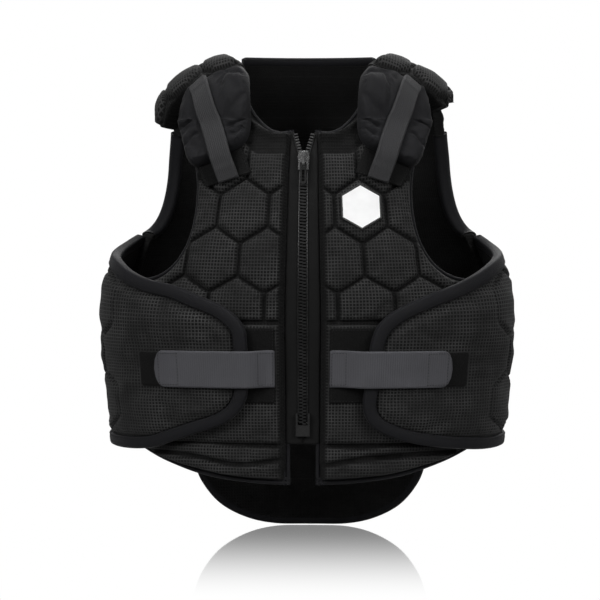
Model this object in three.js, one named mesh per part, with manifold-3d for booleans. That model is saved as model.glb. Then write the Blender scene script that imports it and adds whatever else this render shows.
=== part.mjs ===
// Equestrian body protector: a padded, zip-fronted vest that keeps the shape of the wearer's trunk.
// Millimetres, +Z up, the front faces -Y. Left and right are the wearer's: left is +X.
// The origin lies between the wearer's shoulders, where the two shoulder yokes carry the vest.
//
// Every padded piece is drawn flat, as its pattern, and then bent onto one body form.
// A flat point is (along, height, off): along runs round the trunk from the zip,
// height is Z, and off is the distance outwards from the wearer.
import * as THREE from 'three';
import { mergeVertices } from 'three/addons/utils/BufferGeometryUtils.js';
import Module from 'manifold-3d';

const wasm = await Module();
wasm.setup();

// Layers, counted outwards from the wearer
const LINING = 4;              // bound cloth edge of a padded panel
const FOAM = 14;               // foam sheet with its cover
const PAD = 20;                // top of the hexagonal foam pads
const GAP = 0.3;               // between pieces that lie side by side
const SEAT = 0.6;              // between pieces that lie on each other
const FLAP_SEAT = 22;          // inner face of what is closed over the front panels
const FLAP_THICKNESS = 12.5;
const YOKE_FOAM = 18;
const YOKE_PAD = 24;
const PATCH_THICKNESS = 0.5;
const STRAP_THICKNESS = 2.4;

// Hexagonal pads
const HEX_ACROSS = 60;         // across the flats, from groove to groove
const HEX_ROW = 50.5;          // height of one row
const FIRST_HEX_HEIGHT = -102.5;
const FIRST_HEX_ALONG = { right: 39.5, left: 36.5 };
const GROOVE = 4.5;            // groove width between two pads
const LEAST_PAD = 9000;        // a pad cut to less than this volume is left out
const PAD_SLOPE = 6;           // height of a pad's sloping side
const PAD_INSET = 3;           // how far the side leans in
const PAD_AREA = { from: 5, to: 40 };   // a prism that reaches past every pad, to trim them by
const FOAM_ROOT = 1;           // foam starts this far inside the lining

// Webbing and hook-and-loop
const WAIST_STRAP = { width: 40, height: -317, from: 28, to: 150, round: 9 };
const BINDING_WIDTH = 13;

// Zip
const PANEL_EDGE = 15;         // from the zip's middle to a front panel's edge
const ZIP = { bottom: -400, slider: -100, tape: 18.6, chain: 5, tapeThickness: 1.5, chainThickness: 3.4 };
const TAPE_OFF = LINING + 1.3;
const CHAIN_OFF = TAPE_OFF + ZIP.tapeThickness + SEAT;
const CHAIN_TOP = CHAIN_OFF + ZIP.chainThickness;

// The body form: half width and half depth of the trunk at each height
const FORM = [
  { height: -520, width: 178, depth: 112, back: 0 },
  { height: -450, width: 183, depth: 110, back: 0 },
  { height: -380, width: 187, depth: 110, back: 0 },
  { height: -320, width: 192, depth: 112, back: 0 },
  { height: -260, width: 196, depth: 114, back: 0 },
  { height: -200, width: 184, depth: 112, back: 0 },
  { height: -150, width: 172, depth: 106, back: 3 },
  { height: -100, width: 160, depth: 96, back: 8 },
  { height: -50, width: 148, depth: 80, back: 12 },
];
const CAP_BASE = FORM.at(-1);
const CAP_RISE = 61;           // how far the shoulders rise above the last row
const GIRTH = FORM[4];         // the section that sets the scale of "along"

// Shoulder pieces bend over an axle that runs across the trunk
const YOKE_SEAM_HEIGHT = -30;  // the level seam between the back panel and the yokes
const AXLE = { height: -130, back: CAP_BASE.back, reach: 120 };

const smoothstep = (from, to, x) => THREE.MathUtils.smoothstep(x, from, to);

function ease(a, b, slopeA, slopeB, t) {
  const t2 = t * t;
  const t3 = t2 * t;
  return (2 * t3 - 3 * t2 + 1) * a + (t3 - 2 * t2 + t) * slopeA
    + (3 * t2 - 2 * t3) * b + (t3 - t2) * slopeB;
}

// The shoulders close over the last row as an ellipse does; the nape rises straight on from the yoke seam
const shoulderRise = (above) => Math.sqrt(Math.max(1 - (above / CAP_RISE) ** 2, 1e-6));

function napeRise(above) {
  const seam = YOKE_SEAM_HEIGHT - CAP_BASE.height;
  const slope = (shoulderRise(seam + 0.5) - shoulderRise(seam - 0.5));
  return above < seam ? shoulderRise(above) : shoulderRise(seam) + slope * (above - seam);
}

// Half width, half depth and middle of the form at a height
function sectionAt(height, rise = shoulderRise) {
  const h = THREE.MathUtils.clamp(height, FORM[0].height, CAP_BASE.height);
  let i = 0;
  while (i < FORM.length - 2 && FORM[i + 1].height < h) i++;
  const span = FORM[i + 1].height - FORM[i].height;
  const t = (h - FORM[i].height) / span;
  const value = (key) => {
    const slope = (k) => {
      if (k === FORM.length - 1) return 0;
      const low = FORM[Math.max(k - 1, 0)];
      const high = FORM[k + 1];
      return ((high[key] - low[key]) / (high.height - low.height)) * span;
    };
    return ease(FORM[i][key], FORM[i + 1][key], slope(i), slope(i + 1), t);
  };
  const cap = rise(Math.max(height - CAP_BASE.height, 0));
  return { width: value('width') * cap, depth: value('depth') * cap, back: value('back') };
}

// Arc length round the girth section, one entry for each degree of turn
const ARC = [0];
for (let degree = 1; degree <= 180; degree++) {
  const turn = THREE.MathUtils.degToRad(degree - 0.5);
  const step = Math.hypot(GIRTH.width * Math.cos(turn), GIRTH.depth * Math.sin(turn));
  ARC.push(ARC.at(-1) + step * THREE.MathUtils.degToRad(1));
}
const HALF_ROUND = ARC.at(-1); // from the zip to the middle of the back

function turnAt(along) {
  const way = Math.abs(along);
  const folded = way > HALF_ROUND ? 2 * HALF_ROUND - way : way;
  let degree = 0;
  while (degree < 179 && ARC[degree + 1] < folded) degree++;
  const part = (folded - ARC[degree]) / (ARC[degree + 1] - ARC[degree]);
  const turn = THREE.MathUtils.degToRad(degree + part);
  return Math.sign(along) * (way > HALF_ROUND ? 2 * Math.PI - turn : turn);
}

// Round the trunk: (along, height) to a point on the form
function trunk(along, height, rise = shoulderRise) {
  const { width, depth, back } = sectionAt(height, rise);
  const turn = turnAt(along);
  return new THREE.Vector3(width * Math.sin(turn), back - depth * Math.cos(turn), height);
}

const trunkAndNape = (along, height) => trunk(along, height, napeRise);

function insideForm(x, y, z) {
  if (z > CAP_BASE.height + CAP_RISE) return false;
  const { width, depth, back } = sectionAt(z);
  return (x / width) ** 2 + ((y - back) / depth) ** 2 < 1;
}

// Over a shoulder: across runs outwards from the neck, over runs from the chest up and to the back
function shoulder(across, over) {
  const x = CAP_BASE.width * Math.sin(across / CAP_BASE.width);
  const turn = over / AXLE.reach;
  let near = 0;
  let far = 260;
  for (let i = 0; i < 36; i++) {
    const middle = (near + far) / 2;
    const y = AXLE.back - Math.cos(turn) * middle;
    const z = AXLE.height + Math.sin(turn) * middle;
    if (insideForm(x, y, z)) near = middle;
    else far = middle;
  }
  return new THREE.Vector3(x, AXLE.back - Math.cos(turn) * near, AXLE.height + Math.sin(turn) * near);
}

function outward(surface, a, b) {
  const e = 1;
  const across = surface(a + e, b).sub(surface(a - e, b));
  const up = surface(a, b + e).sub(surface(a, b - e));
  return across.cross(up).normalize();
}

// Closed mesh to solid and back
function toSolid(geometry) {
  const plain = geometry.clone();
  plain.deleteAttribute('normal');
  plain.deleteAttribute('uv');
  const merged = mergeVertices(plain, 1e-4);
  return new wasm.Manifold(new wasm.Mesh({
    numProp: 3,
    vertProperties: merged.attributes.position.array,
    triVerts: new Uint32Array(merged.index.array),
  }));
}

function toGeometry(points, triangles) {
  const geometry = new THREE.BufferGeometry();
  geometry.setAttribute('position', new THREE.Float32BufferAttribute(points.flatMap((p) => p.toArray()), 3));
  geometry.setIndex(triangles.flat());
  geometry.computeVertexNormals();
  return geometry;
}

function fromSolid(solid) {
  const mesh = solid.getMesh();
  const points = [];
  for (let i = 0; i < mesh.numVert; i++) {
    points.push(new THREE.Vector3().fromArray(mesh.vertProperties, i * mesh.numProp));
  }
  const triangles = [];
  for (let i = 0; i < mesh.numTri; i++) triangles.push([...mesh.triVerts.subarray(3 * i, 3 * i + 3)]);
  return { points, triangles };
}

const edgeKey = (i, j) => (i < j ? `${i} ${j}` : `${j} ${i}`);

// Splits the sides that have a middle in the list
function splitTriangle([a, b, c], middles) {
  const m = [middles.get(edgeKey(a, b)), middles.get(edgeKey(b, c)), middles.get(edgeKey(c, a))];
  const cut = m.filter((v) => v !== undefined).length;
  if (cut === 0) return [[a, b, c]];
  if (cut === 3) return [[a, m[0], m[2]], [m[0], b, m[1]], [m[2], m[1], c], [m[0], m[1], m[2]]];
  // the triangle is turned until its first side is cut and, with two cuts, its second side too
  let k = 0;
  while (m[k] === undefined || (cut === 2 && m[(k + 1) % 3] === undefined)) k++;
  const [p, q, r] = [0, 1, 2].map((i) => [a, b, c][(k + i) % 3]);
  const first = m[k];
  if (cut === 1) return [[p, first, r], [first, q, r]];
  const second = m[(k + 1) % 3];
  return [[first, q, second], [p, first, second], [p, second, r]];
}

// Swaps the diagonal of neighbouring triangles in one flat face where that makes them less narrow.
// The stretch favours triangles that are taller than they are wide, because the trunk curves most sideways.
function swapDiagonals(points, triangles, stretch) {
  const scale = new THREE.Vector3(stretch, 1, 1);
  const side = (i, j) => points[j].clone().sub(points[i]).multiply(scale);
  const normal = ([a, b, c]) => side(a, b).cross(side(a, c)).normalize();
  for (let pass = 0; pass < 12; pass++) {
    const owners = new Map();
    triangles.forEach((triangle, t) => {
      for (let k = 0; k < 3; k++) {
        const key = edgeKey(triangle[k], triangle[(k + 1) % 3]);
        owners.set(key, [...(owners.get(key) ?? []), [t, k]]);
      }
    });
    const touched = new Set();
    let swaps = 0;
    for (const [[t, k], [u, l]] of owners.values()) {
      if (touched.has(t) || touched.has(u)) continue;
      const [a, b, c] = [0, 1, 2].map((i) => triangles[t][(k + i) % 3]);
      const d = triangles[u][(l + 2) % 3];
      const face = normal(triangles[t]);
      if (face.dot(normal(triangles[u])) < 0.9999 || owners.has(edgeKey(c, d))) continue;
      if (side(c, a).angleTo(side(c, b)) + side(d, a).angleTo(side(d, b)) < Math.PI + 1e-3) continue;
      const made = [[c, d, b], [d, c, a]];
      if (made.some((m) => side(m[0], m[1]).cross(side(m[0], m[2])).dot(face) < 1e-2)) continue;
      [triangles[t], triangles[u]] = made;
      touched.add(t).add(u);
      swaps++;
    }
    if (swaps === 0) break;
  }
}

// Bends a flat solid onto a surface. An edge is split where it would leave the surface by more than the
// tolerance, or slide along it by several times as much.
const SLIDE = 4;
const TRUNK_STRETCH = 2;
const FINE = 0.4;              // tolerance of thin trim

const noLift = () => 0;

function bend(solid, surface, lift = noLift, tolerance = 1.3) {
  const place = (p) => {
    const off = p.z + lift(p.x, p.y);
    return surface(p.x, p.y).addScaledVector(outward(surface, p.x, p.y), off);
  };
  let { points, triangles } = fromSolid(solid);
  const placed = points.map(place);
  for (let round = 0; round < 8; round++) {
    swapDiagonals(points, triangles, surface === shoulder ? 1 : TRUNK_STRETCH);
    const middles = new Map();
    const seen = new Set();
    for (const triangle of triangles) {
      for (let k = 0; k < 3; k++) {
        const [i, j] = [triangle[k], triangle[(k + 1) % 3]];
        const key = edgeKey(i, j);
        if (seen.has(key)) continue;
        seen.add(key);
        const flat = points[i].clone().add(points[j]).multiplyScalar(0.5);
        const bent = place(flat);
        const miss = placed[i].clone().add(placed[j]).multiplyScalar(0.5).sub(bent);
        const depth = Math.abs(miss.dot(outward(surface, flat.x, flat.y)));
        if (depth < tolerance && miss.length() < SLIDE * tolerance) continue;
        middles.set(key, points.push(flat) - 1);
        placed.push(bent);
      }
    }
    if (middles.size === 0) break;
    triangles = triangles.flatMap((triangle) => splitTriangle(triangle, middles));
  }
  return toGeometry(placed, triangles);
}

// Outlines
const row = (side) => ({ along, height }) => new THREE.Vector2(side * along, height);

function smooth(table, side, step = 20) {
  const curve = new THREE.SplineCurve(table.map(row(side)));
  return curve.getSpacedPoints(Math.max(2, Math.round(curve.getLength() / step)));
}

const corners = (table, side) => table.map(row(side));

// An open line moved sideways: to its right when the distance is positive
function shifted(line, distance) {
  return line.map((p, i) => {
    const before = line[Math.max(i - 1, 0)];
    const after = line[Math.min(i + 1, line.length - 1)];
    const way = after.clone().sub(before).normalize();
    return new THREE.Vector2(p.x + way.y * distance, p.y - way.x * distance);
  });
}

function prism(outline, from, to, bevel = 0, inset = bevel) {
  const geometry = new THREE.ExtrudeGeometry(new THREE.Shape(outline), {
    depth: to - from - 2 * bevel,
    bevelEnabled: bevel > 0,
    bevelThickness: bevel,
    bevelSize: inset,
    bevelOffset: -inset,
    bevelSegments: 1,
  });
  geometry.translate(0, 0, from + bevel);
  return toSolid(geometry);
}

const rectangle = (a0, b0, a1, b1) => [[a0, b0], [a1, b0], [a1, b1], [a0, b1]].map((p) => new THREE.Vector2(...p));

function hexagon(along, height, across, stretch = 1) {
  const reach = across / Math.sqrt(3);
  return [...Array(6).keys()].map((k) => {
    const turn = THREE.MathUtils.degToRad(30 + 60 * k);
    return new THREE.Vector2(along + reach * Math.cos(turn), height + stretch * reach * Math.sin(turn));
  });
}

function boxSolid(x0, x1, y0, y1, z0, z1) {
  const geometry = new THREE.BoxGeometry(x1 - x0, y1 - y0, z1 - z0);
  geometry.translate((x0 + x1) / 2, (y0 + y1) / 2, (z0 + z1) / 2);
  return toSolid(geometry);
}

// A foam pad on a sheet whose top is at the given height
const padOn = (outline, sheet, top) => prism(outline, sheet - PAD_SLOPE - 1, top, (top - sheet), PAD_INSET);

// Colours from the photograph
const cloth = (name, color, roughness) => new THREE.MeshStandardMaterial({ name, color, roughness, metalness: 0 });
const MESH_CLOTH = cloth('mesh_cloth', 0x2b2b2c, 0.85);
const SMOOTH_CLOTH = cloth('smooth_cloth', 0x1e1e21, 0.75);
const BINDING_CLOTH = cloth('binding', 0x1b1b20, 0.7);
const STRAP_CLOTH = cloth('strap', 0x45464c, 0.8);
const HOOK_CLOTH = cloth('hook', 0x101011, 0.95);
const ZIP_CLOTH = cloth('zip_cloth', 0x161617, 0.9);
const ZIP_PLASTIC = cloth('zip_plastic', 0x161616, 0.45);
const METAL = new THREE.MeshStandardMaterial({ name: 'zip_metal', color: 0x2a2a2c, roughness: 0.3, metalness: 0.9 });
const BADGE_WHITE = cloth('badge', 0xf2f2f2, 0.5);

const vest = new THREE.Group();

function addMesh(name, geometry, material, parent = vest) {
  const mesh = new THREE.Mesh(geometry, material);
  mesh.name = name;
  parent.add(mesh);
  return mesh;
}

// The side flaps lie over the front panels; the back panel rises to meet their outer face at the seam
const FLAP_SEAM = 285;
const SEAM_LIFT = FLAP_SEAT + FLAP_THICKNESS - PAD;

function backLift(along, height) {
  const way = Math.min(along, 2 * HALF_ROUND - along);
  return SEAM_LIFT * (1 - smoothstep(FLAP_SEAM - 5, FLAP_SEAM + 65, way)) * (1 - armpitRise(height));
}

// Under the arm the vest lies closer to the wearer again
const armpitRise = (height) => smoothstep(-235, -140, height);

function flapLift(along, height) {
  return FLAP_SEAT - SEAM_LIFT * smoothstep(225, FLAP_SEAM - 15, Math.abs(along)) * armpitRise(height);
}

// Front panels
const ARMHOLE_FRONT = [
  { along: 180, height: -48 },
  { along: 172, height: -64 },
  { along: 156, height: -88 },
  { along: 141, height: -122 },
  { along: 136, height: -158 },
  { along: 141, height: -188 },
  { along: 158, height: -212 },
  { along: 188, height: -224 },
  { along: 246, height: -226 },
];
const FRONT_HEM = [
  { along: 250, height: -400 },
  { along: 205, height: -411 },
  { along: 160, height: -424 },
  { along: 112, height: -436 },
  { along: 60, height: -442 },
  { along: PANEL_EDGE, height: -444 },
];
const NECKLINE = [
  { along: PANEL_EDGE, height: -64 },
  { along: 34, height: -66 },
  { along: 52, height: -60 },
  { along: 70, height: -46 },
  { along: 82, height: -34 },
  { along: 90, height: -22 },
];
const FOAM_NECKLINE = [
  { along: PANEL_EDGE + 4, height: -90 },
  { along: 60, height: -90 },
  { along: 76, height: -78 },
  { along: 88, height: -58 },
  { along: 96, height: -44 },
];
const PAD_NECKLINE = [
  { along: 24, height: -94 },
  { along: 62, height: -94 },
  { along: 82, height: -80 },
  { along: 100, height: -54 },
];
const FRONT_HEXES = [[0, 1], [-1, 0, 1], [0, 1, 2, 3], [-1, 0, 1, 2, 3]];  // columns of each row of pads
const UPPER_PAD_FLOOR = -267;
const BLOCK = { from: 24, to: 242, top: -271, bottom: -399 };
const HEM_ROLLS = [-412, -430];
const HEM_ROLL = { half: 7.5, to: 215, top: PAD - 1 };
// How far the foam and the pads stop short of the bound edges
const FRONT_FOAM = { armhole: 6, hem: 4, bevel: 2.5 };
const FRONT_PADS = { armhole: 10, hem: 7 };

function frontPanel(name, side) {
  const armhole = smooth(ARMHOLE_FRONT, side);
  const hem = smooth(FRONT_HEM, side, 30);
  const lining = prism([...smooth(NECKLINE, side, 20), ...armhole, ...hem], 0, LINING);
  const inset = (table, edge, low) => [
    ...corners(table, side),
    ...shifted(armhole, side * edge),
    ...shifted(hem, side * low).slice(1, -1),
    new THREE.Vector2(side * table[0].along, FRONT_HEM.at(-1).height + low),
  ];
  const padArea = prism(inset(PAD_NECKLINE, FRONT_PADS.armhole, FRONT_PADS.hem), PAD_AREA.from, PAD_AREA.to);
  const foam = prism(inset(FOAM_NECKLINE, FRONT_FOAM.armhole, FRONT_FOAM.hem), FOAM_ROOT, FOAM, FRONT_FOAM.bevel);
  let solid = lining.add(foam);
  const addPad = (outline, top = PAD) => {
    solid = solid.add(padOn(outline, FOAM, top).intersect(padArea));
  };
  for (const [r, columns] of FRONT_HEXES.entries()) {
    for (const c of columns) {
      const along = FIRST_HEX_ALONG[name] + ((r % 2) / 2 + c) * HEX_ACROSS;
      const height = FIRST_HEX_HEIGHT - r * HEX_ROW;
      const outline = hexagon(side * along, height, HEX_ACROSS - GROOVE);
      addPad(outline.map((p) => new THREE.Vector2(p.x, Math.max(p.y, UPPER_PAD_FLOOR))));
    }
  }
  addPad(rectangle(side * BLOCK.from, BLOCK.bottom, side * BLOCK.to, BLOCK.top));
  for (const height of HEM_ROLLS) {
    const { half, to, top } = HEM_ROLL;
    addPad(rectangle(side * BLOCK.from, height - half, side * to, height + half), top);
  }
  return bend(solid, trunk);
}

// Side flaps, each with a bound edge from the armhole round the tongue to the hem
const FLAP_EDGES = {
  right: [
    { along: FLAP_SEAM, height: -181 }, { along: 262, height: -193 }, { along: 238, height: -203 }, { along: 214, height: -211 },
    { along: 190, height: -220 }, { along: 164, height: -227 }, { along: 132, height: -232 },
    { along: 106, height: -241 }, { along: 82, height: -250 }, { along: 66, height: -261 },
    { along: 57, height: -274 }, { along: 55, height: -292 }, { along: 55, height: -336 },
    { along: 58, height: -351 }, { along: 67, height: -366 }, { along: 84, height: -378 },
    { along: 112, height: -388 }, { along: 140, height: -398 }, { along: 166, height: -406 },
    { along: 210, height: -408 }, { along: FLAP_SEAM, height: -403 },
  ],
  left: [
    { along: FLAP_SEAM, height: -181 }, { along: 262, height: -193 }, { along: 238, height: -203 }, { along: 212, height: -212 },
    { along: 186, height: -222 }, { along: 160, height: -231 }, { along: 130, height: -240 },
    { along: 104, height: -250 }, { along: 86, height: -260 }, { along: 75, height: -271 },
    { along: 69, height: -286 }, { along: 66, height: -310 }, { along: 63, height: -340 },
    { along: 62, height: -356 }, { along: 66, height: -371 }, { along: 78, height: -384 },
    { along: 100, height: -394 }, { along: 128, height: -401 }, { along: 166, height: -406 },
    { along: 210, height: -408 }, { along: FLAP_SEAM, height: -403 },
  ],
};

function sideFlap(name, side) {
  const edge = smooth(FLAP_EDGES[name], side);
  const inner = shifted(edge, -side * BINDING_WIDTH);
  const bodyEdge = shifted(edge, -side * (BINDING_WIDTH + SEAT));
  const seamCut = (line) => line.map((p) => new THREE.Vector2(side * Math.min(side * p.x, FLAP_SEAM - GAP), p.y));
  const body = prism(seamCut(bodyEdge), 0, FLAP_THICKNESS, 2);
  const binding = prism([...seamCut(edge), ...seamCut(inner).reverse()], 0, FLAP_THICKNESS - 1);
  addMesh(`side_flap_${name}`, bend(body, trunk, flapLift, 1), MESH_CLOTH);
  addMesh(`flap_binding_${name}`, bend(binding, trunk, flapLift, 1), BINDING_CLOTH);
}

// Back panel: one padded piece from the tail to the neck
const ARMHOLE_BACK = [
  { along: FLAP_SEAM, height: -181 },
  { along: 296, height: -172 },
  { along: 302, height: -156 },
  { along: 303, height: -128 },
  { along: 298, height: -100 },
  { along: 287, height: -68 },
  { along: 282, height: -26 },
];
const NAPE_TOP = { along: 316, height: 19 };
const TAIL = [
  { along: FLAP_SEAM, height: -403 },
  { along: 318, height: -412 },
  { along: 346, height: -428 },
  { along: 360, height: -460 },
  { along: 382, height: -486 },
  { along: 414, height: -503 },
  { along: 450, height: -511 },
  { along: HALF_ROUND, height: -512 },
];
const NAPE_HALF_WIDTH = 76;
const BACK_MIDDLE = -270;      // height about which foam and pads are drawn smaller than the lining
const BACK_FOAM = { across: 0.985, up: 0.972 };
const BACK_PADS = { across: 0.965, up: 0.95 };
const BACK_HEX_ROWS = { first: -2, last: 8 };
const BACK_HEX_COLUMNS = 5;    // to either side of the middle

function backPanel() {
  const mirrored = (line) => line.map((p) => new THREE.Vector2(2 * HALF_ROUND - p.x, p.y));
  const upper = [...smooth(ARMHOLE_BACK, 1), new THREE.Vector2(NAPE_TOP.along, NAPE_TOP.height)];
  const tail = smooth(TAIL, 1, 25);
  const rightUpper = mirrored(upper).reverse();
  const outline = [
    ...tail.slice().reverse(),
    ...upper,
    ...rightUpper,
    ...mirrored(tail).slice(0, -1),
  ];
  const lining = prism(outline, 0, LINING);
  // the foam stops short of the bound edges, but runs right up to the seams with the side flaps
  const shrunk = ({ across, up }) => outline.map((p) => {
    const way = p.x - HALF_ROUND;
    const atSeam = Math.abs(way) > HALF_ROUND - FLAP_SEAM - 1;
    return new THREE.Vector2(HALF_ROUND + way * (atSeam ? 1 : across), BACK_MIDDLE + (p.y - BACK_MIDDLE) * up);
  });
  const foam = prism(shrunk(BACK_FOAM), FOAM_ROOT, FOAM);
  const padArea = prism(shrunk(BACK_PADS), PAD_AREA.from, PAD_AREA.to);
  let solid = lining.add(foam);
  for (let r = BACK_HEX_ROWS.first; r <= BACK_HEX_ROWS.last; r++) {
    for (let c = -BACK_HEX_COLUMNS; c <= BACK_HEX_COLUMNS; c++) {
      const along = HALF_ROUND + Math.abs(r % 2) * (HEX_ACROSS / 2) + c * HEX_ACROSS;
      const height = FIRST_HEX_HEIGHT - r * HEX_ROW;
      const pad = padOn(hexagon(along, height, HEX_ACROSS - GROOVE), FOAM, PAD).intersect(padArea);
      if (pad.volume() > LEAST_PAD) solid = solid.add(pad);
    }
  }
  let bent = toSolid(bend(solid, trunkAndNape, backLift, 2.2));
  const seam = YOKE_SEAM_HEIGHT - GAP / 2;
  for (const side of [-1, 1]) {
    const from = side * NAPE_HALF_WIDTH;
    const to = side * 260;
    bent = bent.subtract(boxSolid(Math.min(from, to), Math.max(from, to), -200, 200, seam, 120));
  }
  const { points, triangles } = fromSolid(bent);
  return toGeometry(points, triangles);
}

// Shoulder yokes, from the seam on the back over the shoulder
const YOKE_STRETCH = 0.87;     // the pads are drawn shorter where the shoulder stretches them
const YOKE = { front: 150.4, back: 340, tip: { right: 221, left: 199 }, padInset: 6, firstPad: { across: 62, over: 26 } };

function yokeOutline(name, side, edge) {
  const tip = YOKE.tip[name];
  return corners([
    { along: 66 + edge, height: YOKE.front + edge / 2 },
    { along: tip - 26, height: YOKE.front + edge / 2 },
    { along: tip - 8 - edge, height: YOKE.front + 12 },
    { along: tip - edge, height: YOKE.front + 32 },
    { along: tip - edge, height: YOKE.back },
    { along: 66 + edge, height: YOKE.back },
    { along: 84 + edge, height: 200 },
    { along: 78 + edge, height: 174 },
  ], side);
}

function shoulderYoke(name, side) {
  let solid = prism(yokeOutline(name, side, 0), 0, YOKE_FOAM, 2);
  const padArea = prism(yokeOutline(name, side, YOKE.padInset), PAD_AREA.from, PAD_AREA.to);
  for (const r of [0, 1, 2, 3]) {
    for (const c of [0, 1, 2, 3]) {
      const across = side * (YOKE.firstPad.across + ((r % 2) / 2 + c - 0.5) * HEX_ACROSS);
      const over = YOKE.front + YOKE.firstPad.over + r * HEX_ROW * YOKE_STRETCH;
      const pad = padOn(hexagon(across, over, HEX_ACROSS - GROOVE, YOKE_STRETCH), YOKE_FOAM, YOKE_PAD)
        .intersect(padArea);
      if (pad.volume() > LEAST_PAD) solid = solid.add(pad);
    }
  }
  let bent = toSolid(bend(solid, shoulder, noLift, 1.8));
  const seam = YOKE_SEAM_HEIGHT + GAP / 2;
  bent = bent.subtract(boxSolid(-300, 300, AXLE.back, 300, -300, seam));
  const nape = side * (NAPE_HALF_WIDTH + GAP);
  bent = bent.subtract(boxSolid(Math.min(0, nape), Math.max(0, nape), AXLE.back, 200, -200, 120));
  const { points, triangles } = fromSolid(bent);
  return toGeometry(points, triangles);
}

// Shoulder flaps: padded, lying on the front panels below the yokes
const SHOULDER_FLAP = [
  { along: 140, height: 150 - GAP },
  { along: 146, height: 134 },
  { along: 144, height: 108 },
  { along: 139, height: 78 },
  { along: 132, height: 50 },
  { along: 122, height: 32 },
  { along: 106, height: 33 },
  { along: 84, height: 43 },
  { along: 64, height: 51 },
  { along: 56, height: 66 },
  { along: 54, height: 98 },
  { along: 58, height: 128 },
  { along: 67, height: 150 - GAP },
];
// The flap's root drops to meet the yoke
const shoulderLift = (across, over) => FLAP_SEAT - 12 * smoothstep(110, 150, over);

function shoulderFlap(side) {
  const flap = prism(smooth(SHOULDER_FLAP, side, 16), 0, FLAP_THICKNESS, 4);
  return bend(flap, shoulder, shoulderLift, 0.9);
}

// Hook-and-loop patches
const SHOULDER_PATCH = [
  { along: 106, height: 0 }, { along: 122, height: 46 }, { along: 68, height: 66 }, { along: 53, height: 18 },
];
const FRONT_PATCH = { from: 28, to: 76, low: -354, high: -274 };
const FLAP_PATCH = { from: 128, to: 168, low: -336, high: -299 };

// A strap starts on the patch, climbs over the flap's edge and then lies on the flap
const PATCH_TOP = PAD + SEAT + PATCH_THICKNESS;
const STRAP_SEAT = 1;          // a strap lies more loosely
const WAIST_CLIMB = { right: [32, 58], left: [34, 67] };
const SHOULDER_CLIMB = [6, 43];

function strapOff(at, [from, to], flapFace) {
  return THREE.MathUtils.lerp(PATCH_TOP + STRAP_SEAT, flapFace + STRAP_SEAT, smoothstep(from, to, at));
}

function roundEnded({ from, to, low, high, round }, side) {
  const shape = [new THREE.Vector2(from, low), new THREE.Vector2(to - round, low)];
  for (let k = 0; k <= 6; k++) {
    const turn = THREE.MathUtils.degToRad(-90 + 30 * k);
    shape.push(new THREE.Vector2(to - round + round * Math.cos(turn),
      (low + high) / 2 + ((high - low) / 2) * Math.sin(turn)));
  }
  shape.push(new THREE.Vector2(to - round, high), new THREE.Vector2(from, high));
  return shape.map((p) => new THREE.Vector2(side * p.x, p.y));
}

function waistStrap(name, side) {
  const half = WAIST_STRAP.width / 2;
  const outline = roundEnded({
    ...WAIST_STRAP, low: WAIST_STRAP.height - half, high: WAIST_STRAP.height + half,
  }, side);
  const face = FLAP_SEAT + FLAP_THICKNESS + SEAT + PATCH_THICKNESS;
  const lift = (along) => strapOff(Math.abs(along), WAIST_CLIMB[name], face);
  return bend(prism(outline, 0, STRAP_THICKNESS), trunk, lift, 0.8);
}

const SHOULDER_STRAP = { width: 24, corner: 4 };
const SHOULDER_STRAP_MIDDLE = [
  { along: 117.5, height: 139 },
  { along: 105, height: 120 },
  { along: 96, height: 105 },
  { along: 95, height: 90 },
  { along: 91, height: 66 },
  { along: 85, height: 44 },
  { along: 77, height: 8 },
];

function shoulderStrap(side) {
  const middle = smooth(SHOULDER_STRAP_MIDDLE, side, 16);
  const half = SHOULDER_STRAP.width / 2;
  const corner = middle.map((p, i) => (i === 0 ? SHOULDER_STRAP.corner : 0));
  const edge = (way) => middle.map((p, i) => shifted(middle, way * (half - corner[i]))[i]);
  const lift = (across, over) => strapOff(over, SHOULDER_CLIMB, shoulderLift(across, over) + FLAP_THICKNESS);
  return bend(prism([...edge(1), ...edge(-1).reverse()], 0, STRAP_THICKNESS), shoulder, lift, 0.8);
}

// Zip: tapes, chain and end box, bent with the chest
const ZIP_TAPE = [
  { along: 0.4, height: ZIP.bottom },
  { along: ZIP.tape, height: ZIP.bottom },
  { along: ZIP.tape, height: ZIP.slider + 34 },
  { along: 13, height: ZIP.slider + 32 },
  { along: 9.5, height: ZIP.slider + 28 },
  { along: 3.4, height: ZIP.slider + 12 },
  { along: 2.6, height: ZIP.slider + 6 },
  { along: 0.4, height: ZIP.slider },
];
// Half of the chain: closed below the slider, parted above it
const CHAIN_HALF = [
  { along: ZIP.chain, height: -378.6 },
  { along: ZIP.chain, height: ZIP.slider - 4 },
  { along: 6.9, height: ZIP.slider + 5 },
  { along: 7.8, height: ZIP.slider + 12 },
  { along: 13.2, height: ZIP.slider + 28 },
  { along: 9.8, height: ZIP.slider + 29.5 },
  { along: 4, height: ZIP.slider + 14 },
  { along: 2.5, height: ZIP.slider + 11 },
  { along: 2.5, height: ZIP.slider + 5 },
  { along: 0, height: ZIP.slider },
];
const ZIP_BOX = [
  { along: -7.5, height: -391 }, { along: 7.5, height: -391 }, { along: 7.5, height: -366 },
  { along: 5.4, height: -366 }, { along: 5.4, height: -379 }, { along: -5.4, height: -379 },
  { along: -5.4, height: -366 }, { along: -7.5, height: -366 },
];

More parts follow.
